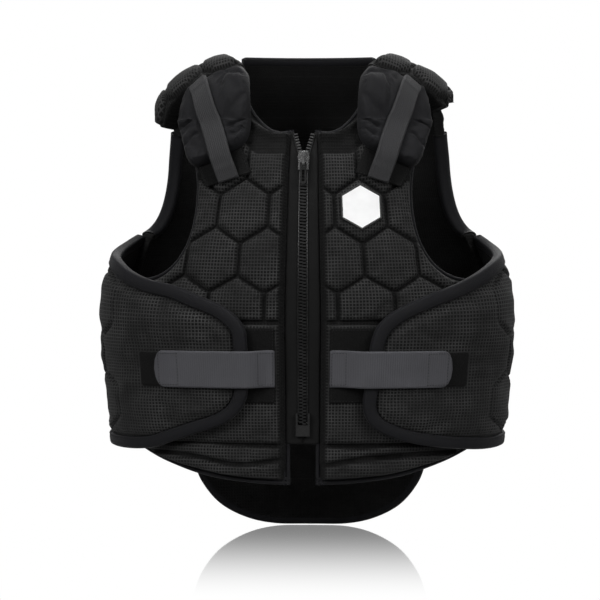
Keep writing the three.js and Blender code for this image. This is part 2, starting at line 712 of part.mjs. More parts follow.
function zipPieces() {
  for (const [name, side] of [['right', -1], ['left', 1]]) {
    const tape = prism(corners(ZIP_TAPE, side), TAPE_OFF, TAPE_OFF + ZIP.tapeThickness);
    addMesh(`zip_tape_${name}`, bend(tape, trunk, noLift, FINE), ZIP_CLOTH);
  }
  const chain = [...corners(CHAIN_HALF, 1), ...corners(CHAIN_HALF, -1).slice(0, -1).reverse()];
  addMesh('zip_chain', bend(prism(chain, CHAIN_OFF, CHAIN_TOP), trunk, noLift, FINE), ZIP_PLASTIC);
  addMesh('zip_box', bend(prism(corners(ZIP_BOX, 1), CHAIN_OFF, CHAIN_TOP + 1), trunk, noLift, FINE), ZIP_PLASTIC);
}

// Slider and puller, in a frame that lies on the chest at the slider: x across, y inwards, z up the chest
const SLIDER = { width: 14, length: 22, plate: 2.2, neck: 3.4, rail: 0.8 };
const TOP_PLATE = CHAIN_TOP + 0.4;
const BOTTOM_PLATE = TAPE_OFF - 0.8 - SLIDER.plate;
const CROWN = { width: 3, rise: 5, bar: 1.8, from: -7, to: 9.5 };
const PULLER = { width: 7, length: 25, thickness: 1.6, arm: 1.4 };

function sliderFrame() {
  const frame = new THREE.Group();
  const low = trunk(0, ZIP.slider - 8);
  const high = trunk(0, ZIP.slider + 8);
  frame.position.copy(trunk(0, ZIP.slider));
  frame.rotation.x = -Math.atan2(high.y - low.y, high.z - low.z);
  return frame;
}

// A shape drawn across and up the chest, extruded outwards
function lying(points, from, to, bevel = 0, holes = []) {
  const shape = new THREE.Shape(points);
  shape.holes.push(...holes.map((hole) => new THREE.Path(hole)));
  const geometry = new THREE.ExtrudeGeometry(shape, {
    depth: to - from - 2 * bevel,
    bevelEnabled: bevel > 0,
    bevelThickness: bevel,
    bevelSize: bevel,
    bevelOffset: -bevel,
    bevelSegments: 1,
  });
  geometry.translate(0, 0, from + bevel);
  geometry.rotateX(Math.PI / 2);
  return geometry;
}

function slider() {
  const { width, length, plate, neck, rail } = SLIDER;
  const half = width / 2;
  const waist = half - 0.8;
  const outline = [
    [-waist, -length / 2], [waist, -length / 2], [waist, -1], [half, 4],
    [half - 1.5, length / 2], [1.5 - half, length / 2], [-half, 4], [-waist, -1],
  ].map((p) => new THREE.Vector2(...p));
  const crownTop = TOP_PLATE + plate + CROWN.rise;
  const foot = TOP_PLATE + 1;
  const arch = new THREE.ExtrudeGeometry(new THREE.Shape([
    [CROWN.from, foot], [CROWN.from, crownTop - 1.5], [CROWN.from + 1.5, crownTop],
    [CROWN.to - 1.5, crownTop], [CROWN.to, crownTop - 1.5], [CROWN.to, foot],
    [CROWN.to - CROWN.bar, foot], [CROWN.to - CROWN.bar, crownTop - CROWN.bar],
    [CROWN.from + CROWN.bar, crownTop - CROWN.bar], [CROWN.from + CROWN.bar, foot],
  ].map((p) => new THREE.Vector2(...p))), { depth: CROWN.width, bevelEnabled: false });
  arch.translate(0, 0, -CROWN.width / 2);
  // drawn up the chest and outwards, and extruded across
  arch.applyMatrix4(new THREE.Matrix4().makeBasis(
    new THREE.Vector3(0, 0, 1), new THREE.Vector3(0, -1, 0), new THREE.Vector3(1, 0, 0)));
  const pieces = [
    lying(outline, BOTTOM_PLATE, BOTTOM_PLATE + plate, 0.6),
    lying(outline, TOP_PLATE, TOP_PLATE + plate, 0.7),
    lying(rectangle(-neck / 2, 5.6, neck / 2, length / 2 - 1.5), BOTTOM_PLATE + 1, TOP_PLATE + 1),
    ...[-1, 1].map((side) => lying(
      rectangle(side * (waist - rail), 1 - length / 2, side * waist, -1.5), TOP_PLATE - 2.4, TOP_PLATE + 1)),
    arch,
  ];
  const { points, triangles } = fromSolid(pieces.map(toSolid).reduce((whole, piece) => whole.add(piece)));
  return toGeometry(points, triangles);
}

// The puller's pin passes under the crown, and the puller hangs down from it
const PIN_PLAY = 0.5;
const PIN = {
  up: CROWN.from + CROWN.bar + PIN_PLAY + PULLER.thickness / 2,
  off: TOP_PLATE + SLIDER.plate + PIN_PLAY + PULLER.thickness / 2,
};

function puller() {
  const { width, length, thickness, arm } = PULLER;
  const half = width / 2;
  const top = PIN.up + thickness / 2;
  const low = top - length;
  const outline = [[-half + 2, low], [half - 2, low], [half, low + 2], [half, top], [-half, top], [-half, low + 2]]
    .map((p) => new THREE.Vector2(...p));
  const eye = rectangle(-half + arm, CROWN.from - 1.6, half - arm, PIN.up - thickness / 2);
  const grip = rectangle(-half + 2, low + 3, half - 2, CROWN.from - 5);
  return lying(outline, PIN.off - thickness / 2, PIN.off + thickness / 2, 0, [eye, grip]);
}

// Badge: a plain hexagonal plate on the wearer's left chest
const BADGE = { along: 66.5, height: -150, across: 41, thickness: 2, sink: 0.4 };

function badge() {
  const group = new THREE.Group();
  const spot = trunk(BADGE.along, BADGE.height);
  const normal = outward(trunk, BADGE.along, BADGE.height);
  const up = new THREE.Vector3(0, 0, 1).addScaledVector(normal, -normal.z).normalize();
  const across = up.clone().cross(normal).normalize();
  group.quaternion.setFromRotationMatrix(new THREE.Matrix4().makeBasis(across, up, normal));
  group.position.copy(spot).addScaledVector(normal, PAD - BADGE.sink);
  const geometry = new THREE.ExtrudeGeometry(new THREE.Shape(hexagon(0, 0, BADGE.across)), {
    depth: BADGE.thickness - 0.8, bevelEnabled: true, bevelThickness: 0.4, bevelSize: 0.4, bevelOffset: -0.4,
    bevelSegments: 1,
  });
  geometry.translate(0, 0, 0.4);
  addMesh('badge', geometry, BADGE_WHITE, group);
  return group;
}

for (const [name, side] of [['right', -1], ['left', 1]]) {
  addMesh(`front_panel_${name}`, frontPanel(name, side), MESH_CLOTH);
  sideFlap(name, side);
  addMesh(`shoulder_yoke_${name}`, shoulderYoke(name, side), MESH_CLOTH);
  addMesh(`shoulder_flap_${name}`, shoulderFlap(side), SMOOTH_CLOTH);
  const onChest = (outline) => prism(outline, PAD + SEAT, PATCH_TOP);
  addMesh(`shoulder_patch_${name}`, bend(onChest(corners(SHOULDER_PATCH, side)), shoulder, noLift, FINE), HOOK_CLOTH);
  const front = rectangle(side * FRONT_PATCH.from, FRONT_PATCH.low, side * FRONT_PATCH.to, FRONT_PATCH.high);
  addMesh(`front_patch_${name}`, bend(onChest(front), trunk, noLift, FINE), HOOK_CLOTH);
  const flapTop = FLAP_SEAT + FLAP_THICKNESS + SEAT;
  const onFlap = rectangle(side * FLAP_PATCH.from, FLAP_PATCH.low, side * FLAP_PATCH.to, FLAP_PATCH.high);
  addMesh(`flap_patch_${name}`, bend(prism(onFlap, flapTop, flapTop + PATCH_THICKNESS), trunk, noLift, FINE), HOOK_CLOTH);
  addMesh(`waist_strap_${name}`, waistStrap(name, side), STRAP_CLOTH);
  addMesh(`shoulder_strap_${name}`, shoulderStrap(side), STRAP_CLOTH);
}
addMesh('back_panel', backPanel(), MESH_CLOTH);
zipPieces();
vest.add(badge());
const hardware = sliderFrame();
addMesh('zip_slider', slider(), METAL, hardware);
addMesh('zip_puller', puller(), METAL, hardware);
vest.add(hardware);

export default vest;
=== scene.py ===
import math

import bpy
import numpy as np
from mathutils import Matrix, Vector, noise
from mathutils.geometry import delaunay_2d_cdt


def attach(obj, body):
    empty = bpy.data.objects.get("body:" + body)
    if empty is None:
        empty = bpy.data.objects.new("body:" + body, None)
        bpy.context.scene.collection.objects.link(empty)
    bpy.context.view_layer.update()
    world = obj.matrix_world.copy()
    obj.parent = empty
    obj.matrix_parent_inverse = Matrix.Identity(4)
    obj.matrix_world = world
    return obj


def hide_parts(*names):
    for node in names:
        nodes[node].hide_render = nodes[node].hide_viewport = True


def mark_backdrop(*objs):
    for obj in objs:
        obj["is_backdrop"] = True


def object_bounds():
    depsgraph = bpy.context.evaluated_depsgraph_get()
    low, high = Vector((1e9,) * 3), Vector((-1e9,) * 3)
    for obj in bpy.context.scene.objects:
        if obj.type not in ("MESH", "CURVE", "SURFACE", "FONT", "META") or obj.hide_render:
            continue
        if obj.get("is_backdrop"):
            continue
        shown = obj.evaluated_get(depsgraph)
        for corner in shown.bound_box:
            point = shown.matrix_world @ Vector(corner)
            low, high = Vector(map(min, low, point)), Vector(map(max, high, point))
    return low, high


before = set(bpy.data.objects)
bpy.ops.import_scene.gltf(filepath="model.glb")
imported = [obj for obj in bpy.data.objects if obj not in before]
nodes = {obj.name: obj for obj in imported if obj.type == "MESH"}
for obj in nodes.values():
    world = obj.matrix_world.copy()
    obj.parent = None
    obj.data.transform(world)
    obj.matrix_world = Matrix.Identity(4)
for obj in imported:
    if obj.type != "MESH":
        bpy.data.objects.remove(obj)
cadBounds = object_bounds()
print("frame loaded")

mm = 0.001
noiseSeed = 11

# The body form of the CAD, in millimetres: height, half width, half depth, middle
formRows = np.array([
    (-520, 178, 112, 0), (-450, 183, 110, 0), (-380, 187, 110, 0),
    (-320, 192, 112, 0), (-260, 196, 114, 0), (-200, 184, 112, 0),
    (-150, 172, 106, 3), (-100, 160, 96, 8), (-50, 148, 80, 12),
], float)
capBase = -50
capRise = 61
yokeSeamHeight = -30
axleHeight = -130
axleReach = 120
shoulderWidth = 148
backMiddleY = 12

slopes = np.zeros((len(formRows), 3))
for k in range(len(formRows) - 1):
    low = formRows[max(k - 1, 0)]
    high = formRows[k + 1]
    slopes[k] = (high[1:] - low[1:]) / (high[0] - low[0])


def shoulderRise(above):
    return np.sqrt(np.maximum(1 - (above / capRise) ** 2, 1e-6))


def napeRise(above):
    seam = yokeSeamHeight - capBase
    slope = shoulderRise(seam + 0.5) - shoulderRise(seam - 0.5)
    return np.where(above < seam, shoulderRise(above), shoulderRise(seam) + slope * (above - seam))


def section(height, rise=shoulderRise):
    h = np.clip(height, formRows[0, 0], capBase)
    i = np.clip(np.searchsorted(formRows[:, 0], h) - 1, 0, 7)
    span = formRows[i + 1, 0] - formRows[i, 0]
    t = (h - formRows[i, 0]) / span
    t2 = t * t
    t3 = t2 * t
    weights = (2 * t3 - 3 * t2 + 1, (t3 - 2 * t2 + t) * span, 3 * t2 - 2 * t3, (t3 - t2) * span)
    a, b, c, d = (w[..., None] for w in weights)
    values = a * formRows[i, 1:] + b * slopes[i] + c * formRows[i + 1, 1:] + d * slopes[i + 1]
    cap = rise(np.maximum(height - capBase, 0))
    return values[..., 0] * cap, values[..., 1] * cap, values[..., 2]


degreeSteps = np.radians(np.arange(180) + 0.5)
arcSteps = np.hypot(196 * np.cos(degreeSteps), 114 * np.sin(degreeSteps)) * math.radians(1)
arcLength = np.concatenate([[0], np.cumsum(arcSteps)])
halfRound = arcLength[-1]


def turnAt(along):
    way = np.abs(along)
    folded = np.where(way > halfRound, 2 * halfRound - way, way)
    turn = np.radians(np.interp(folded, arcLength, np.arange(181)))
    return np.sign(along) * np.where(way > halfRound, 2 * math.pi - turn, turn)


def trunk(along, height, rise=shoulderRise):
    width, depth, back = section(height, rise)
    turn = turnAt(along)
    return np.stack([width * np.sin(turn), back - depth * np.cos(turn), height], -1)


def trunkAndNape(along, height):
    return trunk(along, height, napeRise)


def shoulder(across, over):
    x = shoulderWidth * np.sin(across / shoulderWidth)
    turn = over / axleReach
    near = np.zeros_like(x)
    far = np.full_like(x, 260.0)
    for _ in range(34):
        middle = (near + far) / 2
        y = backMiddleY - np.cos(turn) * middle
        z = axleHeight + np.sin(turn) * middle
        width, depth, back = section(z)
        inside = (z <= capBase + capRise) & ((x / width) ** 2 + ((y - back) / depth) ** 2 < 1)
        near = np.where(inside, middle, near)
        far = np.where(inside, far, middle)
    return np.stack([x, backMiddleY - np.cos(turn) * near, axleHeight + np.sin(turn) * near], -1)


def onTrunk(flat):
    at = shoulder(flat[:, 0], flat[:, 1])
    width, depth, back = section(at[:, 2])
    turn = np.degrees(np.arctan2(np.abs(at[:, 0]) / width, (back - at[:, 1]) / depth))
    return np.stack([np.sign(at[:, 0]) * np.interp(turn, np.arange(181), arcLength), at[:, 2]], -1)


def outward(surface, a, b, e=1.0):
    across = surface(a + e, b) - surface(a - e, b)
    up = surface(a, b + e) - surface(a, b - e)
    normal = np.cross(across, up)
    return normal / np.linalg.norm(normal, axis=-1, keepdims=True)


def place(surface, flat, off):
    a = flat[:, 0]
    b = flat[:, 1]
    return surface(a, b) + outward(surface, a, b) * np.asarray(off)[:, None]


def smoothstep(low, high, x):
    t = np.clip((x - low) / (high - low), 0, 1)
    return t * t * (3 - 2 * t)


# Lines in the flat pattern
def curve(table, side=1, step=2.6):
    points = np.array(table, float) * (side, 1)
    ends = np.concatenate([[2 * points[0] - points[1]], points, [2 * points[-1] - points[-2]]])
    fine = []
    for i in range(len(points) - 1):
        p0, p1, p2, p3 = ends[i:i + 4]
        t = np.linspace(0, 1, 24, endpoint=False)[:, None]
        fine.append(0.5 * (2 * p1 + (p2 - p0) * t + (2 * p0 - 5 * p1 + 4 * p2 - p3) * t ** 2
                           + (3 * p1 - p0 - 3 * p2 + p3) * t ** 3))
    return resample(np.concatenate(fine + [points[-1:]]), step)


def resample(line, step=2.6):
    lengths = np.concatenate([[0], np.cumsum(np.linalg.norm(np.diff(line, axis=0), axis=1))])
    count = max(2, int(round(lengths[-1] / step)) + 1)
    at = np.linspace(0, lengths[-1], count)
    return np.stack([np.interp(at, lengths, line[:, k]) for k in range(line.shape[1])], -1)


def chained(*lines, step=2.6):
    whole = [lines[0]]
    for line in lines[1:]:
        gap = np.linalg.norm(line[0] - whole[-1][-1])
        if gap > step * 1.5:
            whole.append(resample(np.array([whole[-1][-1], line[0]]), step)[1:-1])
        whole.append(line if gap > 0.05 else line[1:])
    return np.concatenate(whole)


def joined(*lines, step=2.6):
    loop = chained(*lines, step=step)
    gap = np.linalg.norm(loop[0] - loop[-1])
    if gap > step * 1.5:
        return np.concatenate([loop, resample(np.array([loop[-1], loop[0]]), step)[1:-1]])
    return loop[:-1] if gap < 0.05 else loop


def closed(corners, step):
    return resample(np.concatenate([corners, corners[:1]]), step)


def flatLoop(corners, step=3.0):
    return joined(closed(corners, step)[:-1])


def areaOf(loop):
    nextOne = np.roll(loop, -1, 0)
    return 0.5 * np.sum(loop[:, 0] * nextOne[:, 1] - nextOne[:, 0] * loop[:, 1])


def counterClockwise(loop):
    return loop if areaOf(loop) > 0 else loop[::-1]


def distanceTo(points, starts, ends, chunk=4000):
    out = np.empty(len(points))
    way = ends - starts
    length2 = np.maximum((way ** 2).sum(1), 1e-9)
    for i in range(0, len(points), chunk):
        p = points[i:i + chunk, None]
        t = np.clip(((p - starts) * way).sum(-1) / length2, 0, 1)
        out[i:i + chunk] = np.linalg.norm(p - starts - t[..., None] * way, axis=-1).min(1)
    return out


def insideLoop(points, loop, chunk=4000):
    out = np.empty(len(points), bool)
    x0, y0 = loop.T
    x1, y1 = np.roll(loop, -1, 0).T
    rise = np.where(y1 == y0, 1e-12, y1 - y0)
    for i in range(0, len(points), chunk):
        px = points[i:i + chunk, 0:1]
        py = points[i:i + chunk, 1:2]
        hit = ((y0 > py) != (y1 > py)) & (px < (x1 - x0) * (py - y0) / rise + x0)
        out[i:i + chunk] = hit.sum(1) % 2 == 1
    return out


def depthIn(points, loop):
    far = distanceTo(points, loop, np.roll(loop, -1, 0))
    return np.where(insideLoop(points, loop), far, -far)


def hexagon(along, height, across, stretch=1.0):
    reach = across / math.sqrt(3)
    turns = np.radians(30 + 60 * np.arange(6))
    return np.stack([along + reach * np.cos(turns), height + stretch * reach * np.sin(turns)], -1)


def box(a0, b0, a1, b1):
    return counterClockwise(np.array([(a0, b0), (a1, b0), (a1, b1), (a0, b1)], float))


def depthInCell(points, cell):
    out = np.full(len(points), 1e9)
    for p, q in zip(cell, np.roll(cell, -1, 0)):
        length = np.linalg.norm(q - p)
        if length > 0.05:
            way = (q - p) / length
            out = np.minimum(out, -(points[:, 0] - p[0]) * way[1] + (points[:, 1] - p[1]) * way[0])
    return out


def wobble(points, size, seed):
    at = points / size
    return np.array([noise.noise(Vector((p[0], p[1], seed))) for p in at])


# Meshes
def linked(name, data):
    made = bpy.data.objects.new(name, data)
    bpy.context.scene.collection.objects.link(made)
    return made


def newMesh(name, vertices, faces, uv=None, smooth=True):
    mesh = bpy.data.meshes.new(name)
    mesh.from_pydata([tuple(v) for v in vertices * mm], [], [tuple(f) for f in faces])
    if uv is not None:
        layer = mesh.uv_layers.new(name="flat")
        loops = np.empty(len(mesh.loops), int)
        mesh.loops.foreach_get("vertex_index", loops)
        layer.data.foreach_set("uv", (uv[loops] * mm).astype(np.float32).ravel())
    mesh.validate()
    mesh.polygons.foreach_set("use_smooth", [smooth] * len(mesh.polygons))
    return linked(name, mesh)


def attribute(made, name, values):
    layer = made.data.attributes.new(name, "FLOAT", "POINT")
    layer.data.foreach_set("value", np.asarray(values, np.float32))


def finished(made, material, replaces=()):
    made.name = f"{made.name.split('.')[0]}_cloth" if replaces else made.name
    made.data.materials.clear()
    made.data.materials.append(material)
    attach(made, "vest")
    if replaces:
        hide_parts(*replaces)
    return made


# A padded panel drawn flat: rings of points follow the seams and a grid fills the rest
ringLevels = (0, 1.0, 2.2, 4.0, 7.0)
edgeLevels = (2.0, 4.5, 7.0)
creaseLevels = (0, 1.3, 2.8)


def ringPoints(lines, field, levels, spacing=2.6):
    found = []
    for line in lines:
        fine = resample(line, spacing) if len(line) == 2 else closed(line, spacing)
        way = np.gradient(fine, axis=0)
        way /= np.maximum(np.linalg.norm(way, axis=1, keepdims=True), 1e-9)
        side = np.stack([-way[:, 1], way[:, 0]], -1)
        for level in levels:
            moved = fine + side * level
            found.append(moved[np.abs(field(moved) - level) < 0.12])
    return np.concatenate(found) if found else np.empty((0, 2))


def thinned(points, least):
    keep = []
    cells = {}
    for i, p in enumerate(points):
        key = (int(p[0] // least), int(p[1] // least))
        near = False
        for dx in (-1, 0, 1):
            for dy in (-1, 0, 1):
                for j in cells.get((key[0] + dx, key[1] + dy), ()):
                    if (points[j][0] - p[0]) ** 2 + (points[j][1] - p[1]) ** 2 < least * least:
                        near = True
        if not near:
            cells.setdefault(key, []).append(i)
            keep.append(i)
    return points[keep]


def gridPoints(loop, step):
    low = loop.min(0)
    high = loop.max(0)
    rows = []
    for k, y in enumerate(np.arange(low[1], high[1], step * 0.866)):
        x = np.arange(low[0] + (k % 2) * step / 2, high[0], step)
        rows.append(np.stack([x, np.full(len(x), y)], -1))
    return np.concatenate(rows)


# How far a point lies inside its pad, and the seams that bound the pads
def padField(loop, settings):
    cells = [counterClockwise(c) for c in settings.get("cells", [])]
    folds = [counterClockwise(f) for f in settings.get("folds", [])]
    area = [counterClockwise(settings["padArea"])] if cells else []

    def depth(points):
        if not cells:
            return depthIn(points, loop)
        best = np.full(len(points), -1e9)
        for cell in cells:
            best = np.maximum(best, depthInCell(points, cell))
        for fold in folds:
            best = np.maximum(best, depthIn(points, fold))
        return np.minimum(best, depthIn(points, area[0]))

    return depth, cells + folds + area


def patternPoints(loop, padDepth, seams, settings):
    spacing = settings.get("spacing", 2.6)
    rings = ringPoints(seams, padDepth, settings.get("levels", ringLevels), spacing)
    edgeRings = settings.get("edgeRings", edgeLevels)
    edges = ringPoints([loop], lambda points: depthIn(points, loop), edgeRings, spacing)
    grid = gridPoints(loop, settings["step"])
    grid = grid[depthIn(grid, loop) > 3]
    if seams:
        depth = padDepth(grid)
        grid = grid[(depth > 9) | (depth < -1.5)]
    if settings.get("creases") is not None:
        creases = settings["creases"]

        def creaseField(points):
            return distanceTo(points, creases[:, 0], creases[:, 1])

        grid = grid[creaseField(grid) > 4]
        ahead = ringPoints(list(creases), creaseField, creaseLevels)
        behind = ringPoints([crease[::-1] for crease in creases], creaseField, creaseLevels[1:])
        rings = np.concatenate([ahead, rings, behind])
    inner = np.concatenate([rings, edges, grid])
    inner = inner[depthIn(inner, loop) > 0.9]
    return np.concatenate([loop, thinned(inner, 0.85)])


def flatMesh(loop, points):
    count = len(loop)
    border = [(i, (i + 1) % count) for i in range(count)]
    made = delaunay_2d_cdt([Vector(p) for p in points], border, [list(range(count))], 1, 1e-4)
    flat = np.array([tuple(p) for p in made[0]])
    triangles = np.array([f for f in made[2] if len(f) == 3])
    rimOf = {}
    for i, sources in enumerate(made[3]):
        for s in sources:
            if s < count:
                rimOf[s] = i
    return flat, triangles, [rimOf[k] for k in range(count)]


# How every pad swells from its seams
padLook = {
    "swellRun": 4.6, "swellPower": 2.6, "crown": 0.9, "crownRun": 26,
    "grooveDepth": 2.4, "grooveAt": 1.4, "grooveWidth": 1.2, "ripple": 1.7, "seamStep": 1.5,
}


def padHeight(flat, depth, settings):
    swell = 1 - (1 - np.clip(depth / padLook["swellRun"], 0, 1)) ** padLook["swellPower"]
    crown = padLook["crown"] * smoothstep(0, padLook["crownRun"], depth)
    sewn = padLook["grooveDepth"] * np.exp(-((depth + padLook["grooveAt"]) / padLook["grooveWidth"]) ** 2)
    pucker = wobble(flat, 9, 3.0) * settings["pucker"] + wobble(flat, 24, 5.0) * padLook["ripple"]
    pucker *= (0.35 + 0.65 * np.exp(-np.clip(depth, 0, 50) / 6)) * smoothstep(-2, 3, depth)
    return (settings["pad"] - settings["foam"]) * swell * (depth > 0) + crown - sewn + pucker


def topHeight(flat, depth, edgeDepth, settings):
    low = settings["edgeHeight"]
    foam = settings["foam"]
    top = low + (foam - low) * smoothstep(*settings["foamRun"], edgeDepth)
    if settings.get("fullSeam"):
        top = np.where(settings["fullSeam"](flat), np.maximum(top, foam - padLook["seamStep"]), top)
    if settings.get("cells"):
        top = top + padHeight(flat, depth, settings)
    else:
        past = 1 - np.clip(edgeDepth / settings["round"], 0, 1)
        top = top * np.sqrt(np.clip(1 - past ** 2, 0.03, 1))
    if settings.get("extra"):
        top = top + settings["extra"](flat, edgeDepth)
    for patch in settings.get("pressed", []):
        under = smoothstep(-4, 1, depthIn(flat, counterClockwise(patch)))
        top = top * (1 - under) + np.minimum(top, settings["pressedTo"]) * under
    return top


def panelMesh(name, settings):
    loop = counterClockwise(settings["outline"])
    surface = settings["surface"]
    padDepth, seams = padField(loop, settings)
    flat, triangles, rim = flatMesh(loop, patternPoints(loop, padDepth, seams, settings))
    count = len(flat)
    depth = padDepth(flat)
    edgeDepth = depthIn(flat, loop)
    edgeDepth[rim] = 0
    lift = settings["lift"](flat[:, 0], flat[:, 1]) if settings.get("lift") else np.zeros(count)
    top = place(surface, flat, topHeight(flat, depth, edgeDepth, settings) + lift)
    bottom = place(surface, flat, lift)
    if settings.get("clamp"):
        top = settings["clamp"](top)
        bottom = settings["clamp"](bottom)
    walls = [(i, i + count, j + count, j) for i, j in zip(rim, rim[1:] + rim[:1])]
    a, b, c = (top[triangles[:, k]] for k in range(3))
    away = outward(surface, flat[triangles[:, 0], 0], flat[triangles[:, 0], 1])
    if np.median((np.cross(b - a, c - a) * away).sum(-1)) < 0:
        triangles = triangles[:, ::-1]
        walls = [wall[::-1] for wall in walls]
    faces = [tuple(t) for t in triangles] + [tuple(t) for t in triangles[:, ::-1] + count] + walls
    mapped = settings["uv"](flat) if settings.get("uv") else flat
    made = newMesh(name, np.concatenate([top, bottom]), faces, np.concatenate([mapped, mapped]))
    attribute(made, "padDepth", np.concatenate([depth, np.full(count, -5.0)]) * mm)
    attribute(made, "inside", np.concatenate([np.zeros(count), np.ones(count)]))
    return made, flat, depth, edgeDepth


# Air swells a padded piece where its top is free, and a cap holds each move
clothLook = {
    "quality": 4, "mass": 0.25, "stiffness": 12, "bending": 0.4, "pressure": 4, "pinning": 5, "frames": 20,
}


def simulate(made, free, settings):
    count = len(made.data.vertices)
    group = made.vertex_groups.new(name="pinned")
    for i, f in enumerate(np.concatenate([free, np.zeros(count - len(free))])):
        if f < 0.999:
            group.add([i], 1 - float(f), "REPLACE")
    before = np.empty(count * 3, np.float32)
    made.data.vertices.foreach_get("co", before)
    before = before.reshape(-1, 3)
    modifier = made.modifiers.new("cloth", "CLOTH")
    cloth = modifier.settings
    cloth.quality = clothLook["quality"]
    cloth.mass = clothLook["mass"]
    cloth.tension_stiffness = clothLook["stiffness"]
    cloth.compression_stiffness = clothLook["stiffness"]
    cloth.bending_stiffness = clothLook["bending"]
    cloth.use_pressure = True
    cloth.uniform_pressure_force = clothLook["pressure"]
    cloth.shrink_min = settings["shrink"]
    cloth.vertex_group_mass = "pinned"
    cloth.pin_stiffness = clothLook["pinning"]
    cloth.effector_weights.gravity = 0
    modifier.collision_settings.use_collision = False
    modifier.collision_settings.use_self_collision = False
    for step in range(1, clothLook["frames"] + 1):
        bpy.context.scene.frame_set(step)
    graph = bpy.context.evaluated_depsgraph_get()
    after = np.empty_like(before).ravel()
    made.evaluated_get(graph).data.vertices.foreach_get("co", after)
    made.modifiers.remove(modifier)
    made.vertex_groups.remove(group)
    bpy.context.scene.frame_set(1)
    moved = after.reshape(-1, 3) - before
    length = np.linalg.norm(moved, axis=1, keepdims=True)
    moved *= np.minimum(1, settings["cap"] * mm / np.maximum(length, 1e-9))
    made.data.vertices.foreach_set("co", (before + moved).astype(np.float32).ravel())
    made.data.update()


def subdivided(made):
    modifier = made.modifiers.new("smooth", "SUBSURF")
    modifier.levels = 1
    modifier.render_levels = 1
    modifier.use_limit_surface = False
    graph = bpy.context.evaluated_depsgraph_get()
    mesh = bpy.data.meshes.new_from_object(made.evaluated_get(graph))
    made.modifiers.remove(modifier)
    made.data = mesh
    mesh.polygons.foreach_set("use_smooth", [True] * len(mesh.polygons))


# Shader maths: a socket that can be added and multiplied
class Value:
    def __init__(self, tree, socket):
        self.tree = tree
        self.socket = socket

    def maths(self, kind, *others):
        return node(self.tree, "ShaderNodeMath", kind, self, *others)

    def __add__(self, other):
        return self.maths("ADD", other)

    def __mul__(self, other):
        return self.maths("MULTIPLY", other)

    def __sub__(self, other):
        return self.maths("SUBTRACT", other)

    def __rsub__(self, other):
        return node(self.tree, "ShaderNodeMath", "SUBTRACT", other, self)

    def __truediv__(self, other):
        return self.maths("DIVIDE", other)

    def fract(self):
        return self.maths("FRACT")

    def size(self):
        return self.maths("ABSOLUTE")

    def most(self, other):
        return self.maths("MAXIMUM", other)

    def step(self, low, high):
        ramp = node(self.tree, "ShaderNodeMapRange", None)
        made = ramp.socket.node
        made.interpolation_type = "SMOOTHSTEP"
        connect(self.tree, made.inputs["Value"], self)
        made.inputs["From Min"].default_value = low
        made.inputs["From Max"].default_value = high
        return Value(self.tree, made.outputs["Result"])


def connect(tree, target, value):
    if isinstance(value, Value):
        tree.links.new(value.socket, target)
    elif hasattr(target, "default_value"):
        target.default_value = value


def node(tree, kind, operation, *values):
    made = tree.nodes.new(kind)
    if operation is not None:
        made.operation = operation
    for target, value in zip(made.inputs, values):
        connect(tree, target, value)
    return Value(tree, made.outputs[0])


def mixColor(tree, factor, a, b):
    made = tree.nodes.new("ShaderNodeMix")
    made.data_type = "RGBA"
    connect(tree, made.inputs["Factor"], factor)
    connect(tree, made.inputs["A"], a)
    connect(tree, made.inputs["B"], b)
    return Value(tree, made.outputs["Result"])


def grey(level, blue=0.0):
    return (level * (1 - blue / 2), level * (1 - blue / 2), level * (1 + blue), 1)


def startMaterial(name):
    material = bpy.data.materials.new(name)
    material.use_nodes = True
    tree = material.node_tree
    shader = tree.nodes["Principled BSDF"]
    return material, tree, shader


def flatAxes(tree):
    uv = tree.nodes.new("ShaderNodeUVMap")
    uv.uv_map = "flat"
    split = tree.nodes.new("ShaderNodeSeparateXYZ")
    tree.links.new(uv.outputs["UV"], split.inputs["Vector"])
    return Value(tree, split.outputs["X"]), Value(tree, split.outputs["Y"]), Value(tree, uv.outputs["UV"])


def placeAxes(tree):
    coordinates = tree.nodes.new("ShaderNodeTexCoord")
    return Value(tree, coordinates.outputs["Object"])


def noiseOf(tree, vector, scale, detail, rough=0.5):
    made = tree.nodes.new("ShaderNodeTexNoise")
    connect(tree, made.inputs["Vector"], vector)
    made.inputs["Scale"].default_value = scale
    made.inputs["Detail"].default_value = detail
    made.inputs["Roughness"].default_value = rough
    return Value(tree, made.outputs["Fac"])


def bumped(tree, shader, height, distance):
    made = tree.nodes.new("ShaderNodeBump")
    made.inputs["Strength"].default_value = 1.0
    made.inputs["Distance"].default_value = distance
    connect(tree, made.inputs["Height"], height)
    tree.links.new(made.outputs["Normal"], shader.inputs["Normal"])


def attributeOf(tree, name):
    made = tree.nodes.new("ShaderNodeAttribute")
    made.attribute_name = name
    return Value(tree, made.outputs["Fac"])


